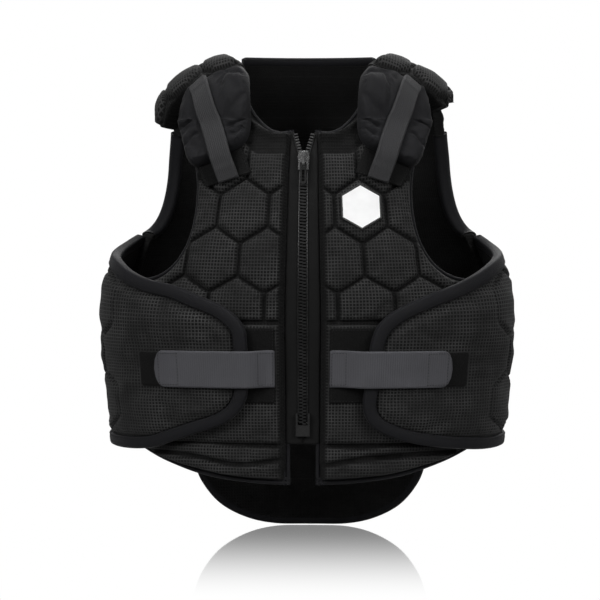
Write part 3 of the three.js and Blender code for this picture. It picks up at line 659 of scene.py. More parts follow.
def meshCloth(name, settings):
    material, tree, shader = startMaterial(name)
    u, v, uv = flatAxes(tree)
    body = placeAxes(tree)
    pitch = settings["pitch"]
    across = ((u / pitch).fract() - 0.5).size()
    up = ((v / pitch).fract() - 0.5).size()
    yarn = across.most(up).step(settings["hole"] - 0.07, settings["hole"] + 0.07)
    patchy = noiseOf(tree, body, 24, 5, 0.6).step(0.28, 0.72)
    thread = noiseOf(tree, uv, 2600, 1)
    # Painted shade: the mesh goes near black in the grooves between the pads, fading out 1.8 mm inside each
    # pad's edge
    groove = attributeOf(tree, "padDepth").step(-0.0006, 0.0018)
    quilt = ((v / 0.046).fract() - 0.5).size().step(0.47, 0.495)
    inner = mixColor(tree, quilt, settings["lining"], settings["seam"])
    yarnColor = mixColor(tree, patchy, settings["dark"], settings["light"])
    holed = mixColor(tree, yarn, settings["holeColor"], yarnColor)
    grooveShaded = mixColor(tree, groove, settings["grooveShadeColor"], holed)
    # The outer colour, with its painted groove shade, on the top faces, and the lining colour on the inside
    # faces
    worn = mixColor(tree, attributeOf(tree, "inside"), grooveShaded, inner)
    connect(tree, shader.inputs["Base Color"], worn)
    connect(tree, shader.inputs["Roughness"], patchy * 0.2 + 0.72)
    shader.inputs["Sheen Weight"].default_value = settings["sheen"]
    shader.inputs["Sheen Roughness"].default_value = 0.45
    shader.inputs["Specular IOR Level"].default_value = 0.22
    bumped(tree, shader, yarn * 0.7 + thread * 0.3, 0.0006)
    return material


def plainCloth(name, settings):
    material, tree, shader = startMaterial(name)
    body = placeAxes(tree)
    fine = noiseOf(tree, body, settings.get("weave", 1400), 2, 0.6)
    patchy = noiseOf(tree, body, 22, 3)
    color = mixColor(tree, patchy, settings["dark"], settings["light"])
    worn = mixColor(tree, fine.step(0.35, 0.75), settings["deep"], color)
    connect(tree, shader.inputs["Base Color"], worn)
    connect(tree, shader.inputs["Roughness"], patchy * 0.25 + settings.get("rough", 0.65))
    shader.inputs["Sheen Weight"].default_value = settings["sheen"]
    shader.inputs["Sheen Roughness"].default_value = 0.4
    shader.inputs["Specular IOR Level"].default_value = 0.22
    bumped(tree, shader, fine * 0.8 + patchy * 0.6, settings.get("bump", 0.0004))
    return material


def elasticCloth(name, settings):
    material, tree, shader = startMaterial(name)
    u, v, uv = flatAxes(tree)
    body = placeAxes(tree)
    ribs = (v / settings["rib"]).fract() - 0.5
    rib = 1 - ribs.size() * 2
    cross = 1 - ((u / settings["cross"]).fract() - 0.5).size() * 2
    patchy = noiseOf(tree, body, 40, 3)
    fine = noiseOf(tree, uv, 1800, 2)
    height = rib * 0.6 + cross * 0.4
    color = mixColor(tree, height * 0.7 + fine * 0.3, settings["dark"], settings["light"])
    worn = mixColor(tree, patchy.step(0.3, 0.8) * 0.35, color, settings["worn"])
    connect(tree, shader.inputs["Base Color"], worn)
    connect(tree, shader.inputs["Roughness"], patchy * 0.2 + 0.62)
    shader.inputs["Sheen Weight"].default_value = settings["sheen"]
    shader.inputs["Sheen Roughness"].default_value = 0.4
    bumped(tree, shader, height + fine * 0.4, 0.0005)
    return material


def hardMaterial(name, settings):
    material, tree, shader = startMaterial(name)
    body = placeAxes(tree)
    fine = noiseOf(tree, body, settings.get("grain", 900), 3)
    patchy = noiseOf(tree, body, 60, 2)
    color = mixColor(tree, patchy.step(0.3, 0.7), settings["dark"], settings["light"])
    connect(tree, shader.inputs["Base Color"], color)
    connect(tree, shader.inputs["Roughness"], fine * 0.25 + settings["rough"])
    shader.inputs["Metallic"].default_value = settings["metal"]
    shader.inputs["Coat Weight"].default_value = settings.get("coat", 0.0)
    shader.inputs["Coat Roughness"].default_value = 0.15
    bumped(tree, shader, fine, settings.get("bump", 0.0001))
    return material


meshLook = {
    "pitch": 0.0034, "hole": 0.34, "sheen": 0.03,
    "dark": grey(0.013), "light": grey(0.044), "holeColor": grey(0.0028),
    # The groove colour is a painted shade for the grooves between the pads
    "grooveShadeColor": grey(0.0012), "lining": grey(0.0014), "seam": grey(0.0036),
}
smoothLook = {
    "dark": grey(0.0065, 0.12), "light": grey(0.015, 0.14), "deep": grey(0.0045, 0.1), "sheen": 0.04,
}
bindingLook = {
    "dark": grey(0.0048, 0.20), "light": grey(0.0085, 0.28), "deep": grey(0.0030, 0.2), "sheen": 0.03,
    "rough": 0.55, "weave": 2200,
}
waistLook = {
    "rib": 0.0011, "cross": 0.0022, "dark": grey(0.034, 0.08), "light": grey(0.070, 0.10),
    "worn": grey(0.085, 0.08), "sheen": 0.05,
}
shoulderStrapLook = dict(waistLook, dark=grey(0.010, 0.06), light=grey(0.024, 0.06), worn=grey(0.030, 0.06))
hookLook = {
    "dark": grey(0.0025), "light": grey(0.0075), "deep": grey(0.0012), "sheen": 0.02, "rough": 0.8,
    "weave": 700, "bump": 0.0009,
}
tapeLook = {"dark": grey(0.0032), "light": grey(0.0062), "deep": grey(0.0015), "sheen": 0.02, "weave": 1600}
threadLook = {"dark": grey(0.010), "light": grey(0.018), "deep": grey(0.006), "sheen": 0.02}
chainLook = {"dark": grey(0.009), "light": grey(0.016), "rough": 0.18, "metal": 0.0}
boxLook = {"dark": grey(0.010), "light": grey(0.016), "rough": 0.18, "metal": 0.0, "coat": 0.4}
sliderLook = {"dark": grey(0.30), "light": grey(0.45), "rough": 0.12, "metal": 1.0}
pullerLook = {"dark": grey(0.006), "light": grey(0.012), "rough": 0.12, "metal": 0.0, "coat": 0.6}
rimLook = {"dark": grey(0.004), "light": grey(0.008), "rough": 0.35, "metal": 0.0}
plateLook = {"dark": grey(0.86), "light": grey(0.92), "rough": 0.35, "metal": 0.0, "grain": 400}

meshMaterial = meshCloth("meshCloth", meshLook)
smoothMaterial = plainCloth("smoothCloth", smoothLook)
bindingMaterial = plainCloth("bindingCloth", bindingLook)
waistMaterial = elasticCloth("waistElastic", waistLook)
shoulderStrapMaterial = elasticCloth("shoulderElastic", shoulderStrapLook)
hookMaterial = plainCloth("hookAndLoop", hookLook)
tapeMaterial = plainCloth("zipTape", tapeLook)
plasticMaterial = hardMaterial("zipPlastic", chainLook)
boxMaterial = hardMaterial("zipBox", boxLook)
metalMaterial = hardMaterial("zipMetal", sliderLook)
pullerMaterial = hardMaterial("zipPuller", pullerLook)
threadMaterial = plainCloth("thread", threadLook)
rimMaterial = hardMaterial("badgeRim", rimLook)
badgeMaterial = hardMaterial("badgePlate", plateLook)
print("materials ready")

# Sizes shared by the pieces
lining = 4
foamTop = 14
padTop = 20
flapSeat = 22
flapThickness = 12.5
panelEdge = 15
flapSeam = 285
hexAcross = 60
hexRow = 50.5
firstHexHeight = -102.5
firstHexAlong = {"right": 39.5, "left": 36.5}
groove = 3.0
seamGap = 0.3
seamLift = flapSeat + flapThickness - padTop


def armpitRise(height):
    return smoothstep(-235, -140, height)


def backLift(along, height):
    way = np.minimum(along, 2 * halfRound - along)
    return seamLift * (1 - smoothstep(flapSeam - 5, flapSeam + 65, way)) * (1 - armpitRise(height))


def flapLift(along, height):
    return flapSeat - seamLift * smoothstep(225, flapSeam - 15, np.abs(along)) * armpitRise(height)


def shoulderLift(across, over):
    return flapSeat - 12 * smoothstep(110, 150, over)


# Front panels
armholeFront = [(180, -48), (172, -64), (156, -88), (141, -122), (136, -158), (141, -188),
                (158, -212), (188, -224), (246, -226)]
frontHem = [(250, -400), (205, -411), (160, -424), (112, -436), (60, -442), (panelEdge, -444)]
neckline = [(panelEdge, -64), (34, -66), (52, -60), (70, -46), (82, -34), (90, -22)]
frontHexes = [(0, 1), (-1, 0, 1), (0, 1, 2, 3), (-1, 0, 1, 2, 3)]
upperPadFloor = -267
frontPatch = (28, -354, 76, -274)
shoulderPatch = np.array([(106, 0), (122, 46), (68, 66), (53, 18)], float)

# Rolls of loose cover cloth along the hem, each between an upper and a lower line
hemFolds = {
    "right": [([(22.5, -403), (70, -402), (120, -399), (170, -402), (206, -405)],
               [(22.5, -414), (70, -420), (120, -412), (170, -409), (206, -406)]),
              ([(22.5, -418), (70, -424), (120, -416), (170, -412), (200, -410)],
               [(22.5, -440), (70, -440), (120, -436), (170, -424), (200, -414)])],
    "left": [([(22.5, -402), (64, -405), (112, -401), (166, -400), (206, -404)],
              [(22.5, -420), (64, -414), (112, -410), (166, -408), (206, -406)]),
             ([(22.5, -424), (54, -420), (90, -417), (140, -413), (180, -411), (202, -410)],
              [(22.5, -440), (54, -440), (90, -438), (140, -432), (180, -420), (202, -413)])],
}


def shifted(line, distance):
    way = np.gradient(line, axis=0)
    way /= np.linalg.norm(way, axis=1, keepdims=True)
    return line + np.stack([way[:, 1], -way[:, 0]], -1) * distance


frontPanelLook = {
    "surface": trunk, "edgeHeight": 3.2, "foam": foamTop, "foamRun": (3.5, 7.5), "pad": 18.6, "pucker": 0.8,
    "pressedTo": 20.2, "step": 5, "spacing": 3.5, "levels": (0, 1.2, 2.8, 6.0), "cap": 1.6, "shrink": -0.02,
    "collar": 4.5, "drape": (5.5, 2.2),
}


def frontPads(word, side):
    cells = []
    for r, columns in enumerate(frontHexes):
        for c in columns:
            along = firstHexAlong[word] + ((r % 2) / 2 + c) * hexAcross
            cell = hexagon(side * along, firstHexHeight - r * hexRow, hexAcross - groove)
            cell[:, 1] = np.maximum(cell[:, 1], upperPadFloor)
            cells.append(cell)
    return cells + [box(side * 22.5, -399, side * 242, -270.5)]


def frontPanel(word, side):
    armhole = curve(armholeFront, side)
    hem = curve(frontHem, side)
    neck = curve(neckline, side)
    padNeck = np.array([(24, -94), (62, -94), (82, -80), (100, -54)], float) * (side, 1)
    padCorner = np.array([[side * 24.0, -437.0]])
    padArea = joined(resample(padNeck, 6), shifted(armhole, side * 9), shifted(hem, side * 6)[1:-6],
                     padCorner, step=6)
    folds = [np.concatenate([curve(top, side, 6), curve(low, side, 6)[::-1]]) for top, low in hemFolds[word]]
    a0, b0, a1, b1 = frontPatch
    pressed = [box(side * (a0 - 1), b0 - 1, side * (a1 + 1), b1 + 1), onTrunk(shoulderPatch * (side, 1))]
    look = frontPanelLook

    def relief(flat, edgeDepth):
        fromNeck = distanceTo(flat, neck[:-1], neck[1:])
        collar = look["collar"] * np.exp(-((fromNeck - 9) / 5.5) ** 2)
        slack = smoothstep(-385, -425, flat[:, 1])
        wide, fine = look["drape"]
        drape = wobble(flat * (1, 2.6), 46, 12.0 + side) * wide
        drape = drape + wobble(flat * (1, 2), 20, 15.0 + side) * fine
        return collar * smoothstep(0, 5, edgeDepth) + drape * slack * smoothstep(0, 8, edgeDepth)

    name = f"front_panel_{word}"
    made, flat, depth, edgeDepth = panelMesh(name, dict(
        look, outline=joined(neck, armhole, hem), cells=frontPads(word, side), folds=folds, padArea=padArea,
        extra=relief, pressed=pressed))
    free = smoothstep(0.5, 5, depth)
    for patch in pressed:
        free *= smoothstep(0, 5, -depthIn(flat, counterClockwise(patch)))
    simulate(made, free, look)
    subdivided(made)
    finished(made, meshMaterial, [name])
    edgeTrim(f"panel_binding_{word}", trunk, [neck, armhole, hem, zipEdge(side)], [side] * 4)


def zipEdge(side):
    return resample(np.array([(side * panelEdge, -444.0), (side * panelEdge, -64.0)]), 4)


# Bound edges, as a section of (inset, off) points: two rolls of folded cloth, and the armhole's thick roll
rollSection = np.array([
    (8.6, 2.8), (8.4, 4.9), (7.2, 6.0), (5.6, 5.9), (4.7, 4.9), (4.3, 4.1), (3.9, 4.9), (3.0, 5.9),
    (1.4, 6.0), (0.0, 4.9), (-0.5, 3.0), (0.0, 0.8), (1.4, -0.3), (6.0, -0.3), (8.2, 0.4),
])
armholeRoll = np.array([
    (9.0, 15.0), (8.2, 17.4), (6.4, 18.6), (4.0, 18.4), (1.6, 16.8), (-0.6, 13.5), (-1.6, 9.0), (-1.2, 3.5),
    (0.2, 0.4), (2.6, -0.6), (6.0, -0.5), (7.0, 0.6),
])


def swept(name, surface, line, side, shape, lift=None, clamp=None):
    rows = []
    flats = []
    for inset, off in shape:
        flat = shifted(line, side * inset)
        height = np.full(len(flat), float(off))
        if lift is not None:
            height = height + lift(flat[:, 0], flat[:, 1])
        rows.append(place(surface, flat, height))
        flats.append(flat)
    rows = np.array(rows)
    if clamp is not None:
        rows = clamp(rows.reshape(-1, 3)).reshape(rows.shape)
    k, n = rows.shape[:2]
    faces = []
    for i in range(k):
        for j in range(n - 1):
            a = i * n + j
            b = ((i + 1) % k) * n + j
            faces.append((a, b, b + 1, a + 1) if side > 0 else (a, a + 1, b + 1, b))
    ends = [tuple(i * n for i in range(k)), tuple(i * n + n - 1 for i in range(k))[::-1]]
    faces += [e if side > 0 else e[::-1] for e in ends]
    lengths = np.concatenate([[0], np.cumsum(np.linalg.norm(np.diff(line, axis=0), axis=1))])
    uv = np.concatenate([np.stack([lengths, np.full(n, row[0] + row[1])], -1) for row in shape])
    return newMesh(name, rows.reshape(-1, 3), faces, uv)


def merged(name, parts):
    bpy.context.view_layer.update()
    with bpy.context.temp_override(active_object=parts[0], selected_editable_objects=parts):
        bpy.ops.object.join()
    parts[0].name = name
    return parts[0]


def edgeTrim(name, surface, lines, sides, lift=None, clamp=None, shape=rollSection):
    parts = [swept(f"{name}_{i}", surface, resample(line, 4), side, shape, lift, clamp)
             for i, (line, side) in enumerate(zip(lines, sides))]
    finished(merged(name, parts), bindingMaterial)


for word, side in (("right", -1), ("left", 1)):
    frontPanel(word, side)
print("front panels made")

# Side flaps, their pads' seams run on round the wearer's side
flapEdges = {
    "right": [(285, -181), (262, -193), (238, -203), (214, -211), (190, -220), (164, -227), (132, -232),
              (106, -241), (82, -250), (66, -261), (57, -274), (55, -292), (55, -336), (58, -351), (67, -366),
              (84, -378), (112, -388), (140, -398), (166, -406), (210, -408), (285, -403)],
    "left": [(285, -181), (262, -193), (238, -203), (212, -212), (186, -222), (160, -231), (130, -240),
             (104, -250), (86, -260), (75, -271), (69, -286), (66, -310), (63, -340), (62, -356), (66, -371),
             (78, -384), (100, -394), (128, -401), (166, -406), (210, -408), (285, -403)],
}
bindingWidth = 13


# The edges of a run of hexagons, each found once
def hexEdges(alongs, rows, keep, side):
    edges = {}
    for r in rows:
        for a in alongs:
            cell = hexagon(a + (r % 2) * hexAcross / 2, firstHexHeight - r * hexRow, hexAcross)
            for p, q in zip(cell, np.roll(cell, -1, 0)):
                if keep((p + q) / 2):
                    ends = tuple(sorted([tuple(np.round(p)), tuple(np.round(q))]))
                    edges[ends] = (p * (side, 1), q * (side, 1))
    return np.array(list(edges.values()))


def besideWaistStrap(flat, side):
    return smoothstep(-1, 12, -depthIn(flat, box(side * 40, -338, side * 170, -296)))


sideFlapLook = {
    "surface": trunk, "edgeHeight": 8.5, "foam": 11.2, "foamRun": (0, 14), "round": 3.5, "lift": flapLift,
    "step": 5, "cap": 1.5, "shrink": -0.02, "creaseDepth": 4.6, "creaseWidth": 1.8,
    "wrinkles": (2.6, 1.8, 0.5),
}
flapBinding = np.array([
    (13.2, 3.0), (13.1, 9.8), (12.7, 11.0), (11.6, 11.5), (7.0, 11.9), (2.2, 11.5), (0.9, 10.9), (0.2, 9.6),
    (0.0, 6.5), (0.2, 2.5), (1.0, 0.7), (3.0, 0.0), (9.0, 0.0), (12.2, 0.6),
])


def sideFlap(word, side):
    look = sideFlapLook
    seam = flapSeam - seamGap
    edge = curve(flapEdges[word], side)
    bound = edge[side * edge[:, 0] < seam]
    edge[:, 0] = side * np.minimum(side * edge[:, 0], seam)
    inner = shifted(edge, -side * (bindingWidth - 1.5))
    inner[:, 0] = side * np.minimum(side * inner[:, 0], seam)
    outline = joined(inner)

    def onFlap(p):
        return 196 < p[0] < 279 and -392 < p[1] < -205

    creases = hexEdges(np.arange(202, 300, 56), range(2, 7), onFlap, side)
    creases = creases[depthIn(creases.mean(1), counterClockwise(outline)) > 4]

    def relief(flat, edgeDepth):
        fromCrease = distanceTo(flat, creases[:, 0], creases[:, 1])
        away = smoothstep(190, 215, side * flat[:, 0])
        sewn = look["creaseDepth"] * np.exp(-(fromCrease / look["creaseWidth"]) ** 2) * away
        wide, middle, fine = look["wrinkles"]
        folds = wobble(flat, 42, 8.0) * wide + wobble(flat * (1, 2.2), 30, 2.0) * middle
        folds = folds + wobble(flat, 13, 6.0) * fine
        return folds * smoothstep(0, 14, edgeDepth) * besideWaistStrap(flat, side) - sewn

    name = f"side_flap_{word}"
    made, flat, _, edgeDepth = panelMesh(name, dict(look, outline=outline, extra=relief, creases=creases))
    simulate(made, smoothstep(1, 10, edgeDepth) * besideWaistStrap(flat, side), look)
    subdivided(made)
    finished(made, meshMaterial, [name])
    trim = f"flap_binding_{word}"
    part = swept(trim, trunk, resample(bound, 3), -side, flapBinding, flapLift)
    finished(part, bindingMaterial, [trim])


# Back panel
armholeBack = [(285, -181), (296, -172), (302, -156), (303, -128), (298, -100), (287, -68)]
tailLine = [(285, -403), (318, -412), (346, -428), (360, -460), (382, -486), (414, -503), (450, -511),
            (halfRound, -512)]
napeHalfWidth = 76
napeTop = 19
backPanelLook = {
    "surface": trunkAndNape, "edgeHeight": 5, "foam": foamTop, "foamRun": (1, 6), "pad": 19.4, "pucker": 0.8,
    "lift": backLift, "step": 8.5, "spacing": 6.4, "levels": (0, 2.2, 5.0), "cap": 1.5, "shrink": -0.02,
}


def alongAtX(x, height):
    width = section(np.array([float(height)]), napeRise)[0][0]
    turn = math.pi - math.asin(min(x / width, 1))
    return float(np.interp(math.degrees(turn), np.arange(181), arcLength))


# The other half of a line along the back, from the middle on
def mirrored(line):
    return line[::-1] * (-1, 1) + (2 * halfRound, 0)


def backPanel():
    look = backPanelLook
    seam = yokeSeamHeight - 0.15
    armhole = curve(armholeBack, 1, 4)
    yokeSeam = np.array([(284.5, -50.0), (282.5, seam)])
    nape = np.array([(alongAtX(napeHalfWidth, h), h) for h in (seam, -20, -10, 0, 10, 14)])
    upper = chained(armhole, yokeSeam, nape)
    top = resample(np.array([(nape[-1, 0] + 3, 17.5), (nape[-1, 0] + 8, napeTop), (halfRound, napeTop)]), 3)
    tail = curve(tailLine, 1, 4)
    half = np.concatenate([tail[::-1], resample(np.array([tail[0], armhole[0]]), 3)[1:-1], upper, top])
    outline = joined(half, mirrored(half[1:-1]))

    def clamp(points):
        out = points.copy()
        outside = (np.abs(out[:, 0]) > napeHalfWidth) & (out[:, 1] > 0)
        out[:, 2] = np.where(outside & (out[:, 2] > seam), seam, out[:, 2])
        over = (out[:, 2] > seam + 0.3) & (out[:, 1] > 0)
        out[:, 0] = np.where(over, np.clip(out[:, 0], -napeHalfWidth, napeHalfWidth), out[:, 0])
        return out

    def atSeam(flat):
        way = np.abs(flat[:, 0] - halfRound)
        return (way > halfRound - flapSeam - 45) & (flat[:, 1] > -403)

    middle = np.array([halfRound, -270])
    padArea = (middle + (outline - middle) * (0.965, 0.95))[::2]
    cells = []
    for r in range(-2, 9):
        for c in range(-5, 6):
            along = halfRound + (r % 2) * hexAcross / 2 + c * hexAcross
            cells.append(hexagon(along, firstHexHeight - r * hexRow, hexAcross - groove))
    made, _, depth, _ = panelMesh("back_panel", dict(
        look, outline=outline, cells=cells, padArea=padArea, clamp=clamp, fullSeam=atSeam))
    simulate(made, smoothstep(0.5, 5, depth), look)
    subdivided(made)
    finished(made, meshMaterial, ["back_panel"])
    wholeTail = np.concatenate([tail, mirrored(tail[:-1])])
    wholeTop = np.concatenate([top, mirrored(top[:-1])])
    otherArmhole = armhole * (-1, 1) + (2 * halfRound, 0)
    edgeTrim("back_binding", trunkAndNape, [wholeTail, wholeTop], [-1, 1], backLift, clamp)
    edgeTrim("armhole_binding", trunkAndNape, [armhole[1:], otherArmhole[1:]], [1, -1], backLift, clamp,
             armholeRoll)


# Shoulder yokes
yokeFront = 150.4
yokeStretch = 0.87
yokeBack = 318
yokeTip = {"right": 221, "left": 199}
yokeLook = {
    "surface": shoulder, "edgeHeight": 16.6, "foam": 18.2, "foamRun": (0, 3), "pad": 24.2, "pucker": 0.3,
    "step": 5, "spacing": 3.8, "levels": (0, 1.2, 3.0, 6.4), "cap": 1.5, "shrink": -0.02,
}


def shoulderUv(flat):
    over = np.arange(0, 361, 4.0)
    line = place(shoulder, np.stack([np.full(len(over), 130.0), over], -1), np.full(len(over), 20.0))
    lengths = np.concatenate([[0], np.cumsum(np.linalg.norm(np.diff(line, axis=0), axis=1))])
    return np.stack([flat[:, 0], np.interp(flat[:, 1], over, lengths)], -1)


def yokeRing(word, side, inset):
    tip = yokeTip[word]
    inner = 66 + inset
    front = yokeFront + inset / 2
    return np.array([
        (inner, front), (tip - 26, front), (tip - 8 - inset, yokeFront + 12), (tip - inset, yokeFront + 32),
        (tip - inset, yokeBack), (inner, yokeBack), (84 + inset, 200), (78 + inset, 174),
    ], float) * (side, 1)


def yoke(word, side):
    seam = yokeSeamHeight + 0.15
    look = yokeLook

    def clamp(points):
        out = points.copy()
        behind = out[:, 1] > backMiddleY
        out[:, 2] = np.where(behind, np.maximum(out[:, 2], seam), out[:, 2])
        near = behind & (np.abs(out[:, 0]) < napeHalfWidth + seamGap)
        out[:, 0] = np.where(near, side * (napeHalfWidth + seamGap), out[:, 0])
        return out

    cells = []
    for r in range(4):
        for c in range(4):
            across = side * (62 + ((r % 2) / 2 + c - 0.5) * hexAcross)
            over = yokeFront + 26 + r * hexRow * yokeStretch
            cells.append(hexagon(across, over, hexAcross - groove, yokeStretch))
    name = f"shoulder_yoke_{word}"
    made, _, depth, _ = panelMesh(name, dict(
        look, outline=flatLoop(yokeRing(word, side, 0), 2.6), cells=cells, padArea=yokeRing(word, side, 5),
        clamp=clamp, uv=shoulderUv))
    simulate(made, smoothstep(0.5, 5, depth), look)
    subdivided(made)
    finished(made, meshMaterial, [name])


# Shoulder flaps: soft padded cloth with folds at the neck side
shoulderFlapLine = [(140, 149.7), (146, 134), (144, 108), (139, 78), (132, 50), (122, 32), (106, 33),
                    (84, 43), (64, 51), (56, 66), (54, 98), (58, 128), (67, 149.7)]
flapFolds = np.array([
    [(59, 128), (82, 138)], [(57, 112), (80, 104)], [(55, 92), (76, 76)], [(58, 72), (74, 62)],
    [(130, 62), (114, 76)], [(141, 96), (122, 104)], [(84, 140), (90, 118)],
], float)
shoulderFlapLook = {
    "surface": shoulder, "edgeHeight": 10.5, "foam": 11.6, "foamRun": (0, 12), "round": 7,
    "lift": shoulderLift, "step": 4, "cap": 1.5, "shrink": -0.04, "wrinkles": (2.4, 1.2),
    "foldDepth": 3.0, "foldWidth": 3.0,
}
strapMiddle = [(117.5, 139), (105, 120), (96, 105), (95, 90), (91, 66), (85, 44), (77, 8)]


def besideStrap(flat, side):
    middle = curve(strapMiddle, side, 6)
    return smoothstep(12, 19, distanceTo(flat, middle[:-1], middle[1:]))


def shoulderFlap(word, side):
    look = shoulderFlapLook
    folds = flapFolds * (side, 1)

    def relief(flat, edgeDepth):
        fromFold = distanceTo(flat, folds[:, 0], folds[:, 1])
        wide, fine = look["wrinkles"]
        soft = wobble(flat, 26, 4.0 + side) * wide + wobble(flat, 11, 9.0 + side) * fine
        soft = soft - look["foldDepth"] * np.exp(-(fromFold / look["foldWidth"]) ** 2)
        beside = besideStrap(flat, side)
        return soft * smoothstep(1, 9, edgeDepth) * beside - 0.6 * (1 - beside)

    name = f"shoulder_flap_{word}"
    made, flat, _, edgeDepth = panelMesh(name, dict(
        look, outline=joined(curve(shoulderFlapLine, side)), extra=relief, creases=folds))
    simulate(made, smoothstep(1, 8, edgeDepth) * besideStrap(flat, side), look)
    subdivided(made)
    finished(made, smoothMaterial, [name])


# Hook-and-loop patches and elastic straps
flapPatch = (128, -336, 168, -299)
patchSeat = 20.6
strapSeat = 22.1
flapFace = flapSeat + flapThickness
waistClimb = {"right": (32, 58), "left": (34, 67)}
shoulderClimb = (6, 43)
thinLook = {"edgeRings": (1.0, 2.4), "round": 1.2, "step": 4.5, "foamRun": (0, 1)}
patchLook = dict(thinLook, edgeHeight=0.7, foam=0.7)
strapLook = dict(thinLook, edgeHeight=2.2, foam=2.4)
tapeShape = dict(thinLook, edgeHeight=1.4, foam=1.5, surface=trunk)


def thinPiece(name, material, settings):
    made = panelMesh(name, settings)[0]
    return finished(made, material, [name])


def level(off):
    return lambda a, b: np.full(len(a), off)


# A strap starts on its patch and climbs onto the flap
def strapLift(climb, face):
    def lift(at, a, b):
        part = smoothstep(climb[0], climb[1], at)
        return strapSeat * (1 - part) + face(a, b) * part
    return lift


def waistLift(word):
    climb = strapLift(waistClimb[word], lambda a, b: flapFace + 2.1)
    return lambda a, b: climb(np.abs(a), a, b)


def sideBox(corners, side, inset=0):
    a0, b0, a1, b1 = corners
    return box(side * (a0 + inset), b0 + inset, side * (a1 - inset), b1 - inset)


def fabricStraps(word, side):
    patches = (
        ("shoulder_patch", shoulderPatch * (side, 1), shoulder, patchSeat, (0.048, 0.056)),
        ("front_patch", sideBox(frontPatch, side), trunk, patchSeat, (0.048, 0.080)),
        ("flap_patch", sideBox(flapPatch, side), trunk, flapFace + 0.6, (0.040, 0.037)),
    )
    for name, corners, surface, seat, size in patches:
        patch = thinPiece(f"{name}_{word}", hookMaterial, dict(
            patchLook, outline=flatLoop(corners), surface=surface, lift=level(seat)))

    turns = np.radians(np.arange(-90, 91, 30))
    tip = np.stack([141 + 9 * np.cos(turns), -317 + 20 * np.sin(turns)], -1)
    corners = np.concatenate([[(28, -337)], tip, [(28, -297)]]) * (side, 1)
    strap = thinPiece(f"waist_strap_{word}", waistMaterial, dict(
        strapLook, outline=flatLoop(corners), surface=trunk, lift=waistLift(word)))

    ribbon, length = strapSurface(side)
    end = length - 2
    corners = np.array([(-12, 0), (12, 0), (12, end), (10, length), (-10, length), (-12, end)], float)
    strap = thinPiece(f"shoulder_strap_{word}", shoulderStrapMaterial, dict(
        strapLook, outline=flatLoop(corners), surface=ribbon, step=3, extra=strapFolds(length)))


# Both ends of a shoulder strap are turned under and sewn down
def strapFolds(length):
    def relief(flat, edgeDepth):
        ends = smoothstep(19, 16.5, flat[:, 1]) * 1.6 + smoothstep(length - 15, length - 13, flat[:, 1]) * 0.8
        return ends * smoothstep(0, 1, edgeDepth)
    return relief


# A strap's own surface: across and along, in millimetres, taut over the flap it lies on
def strapSurface(side):
    middle = curve(strapMiddle, side, 2)
    climb = strapLift(shoulderClimb, lambda a, b: shoulderLift(a, b) + flapThickness + 1)
    seat = climb(middle[:, 1], middle[:, 0], middle[:, 1])

    def smoothed(rows, width=9):
        padded = np.concatenate([np.repeat(rows[:1], width, 0), rows, np.repeat(rows[-1:], width, 0)])
        weights = np.hanning(2 * width + 3)[1:-1]
        slope = np.concatenate([np.arange(-width, 0), np.zeros(len(rows)), np.arange(1, width + 1)])[:, None]
        ends = np.where(slope < 0, rows[1] - rows[0], rows[-1] - rows[-2])
        padded = padded + slope * ends
        return np.stack([np.convolve(padded[:, k], weights / weights.sum(), "valid") for k in range(3)], -1)

    spine = smoothed(place(shoulder, middle, seat + 0.5))[::-1]
    edges = [place(shoulder, shifted(middle, k), seat) for k in (-12, 12)]
    across = smoothed(edges[1] - edges[0])[::-1]
    across *= np.sign(across[:, :1])
    run = np.gradient(spine, axis=0)
    run /= np.linalg.norm(run, axis=1, keepdims=True)
    across -= run * (across * run).sum(1, keepdims=True)
    across /= np.linalg.norm(across, axis=1, keepdims=True)
    at = np.concatenate([[0], np.cumsum(np.linalg.norm(np.diff(spine, axis=0), axis=1))])

    def surface(a, b):
        along = np.clip(b, 0, at[-1])
        past = (b - along)[:, None]
        point = np.stack([np.interp(along, at, spine[:, k]) for k in range(3)], -1)
        way = np.stack([np.interp(along, at, across[:, k]) for k in range(3)], -1)
        ends = np.where(b[:, None] < 0, spine[1] - spine[0], spine[-1] - spine[-2])
        ends = ends / np.linalg.norm(ends, axis=1, keepdims=True)
        return point + way * a[:, None] + ends * past

    return surface, float(at[-1])


# Zip
tapeOff = lining + 1.3
chainOff = tapeOff + 1.5 + 0.6
tapeLine = [(0.4, -400), (18.6, -400), (18.6, -66), (13, -68), (9.5, -72), (3.4, -88), (2.6, -94),
            (0.4, -100)]


def zipTapes(word, side):
    tape = thinPiece(f"zip_tape_{word}", tapeMaterial, dict(
        tapeShape, outline=flatLoop(np.array(tapeLine, float) * (side, 1)), lift=level(tapeOff)))


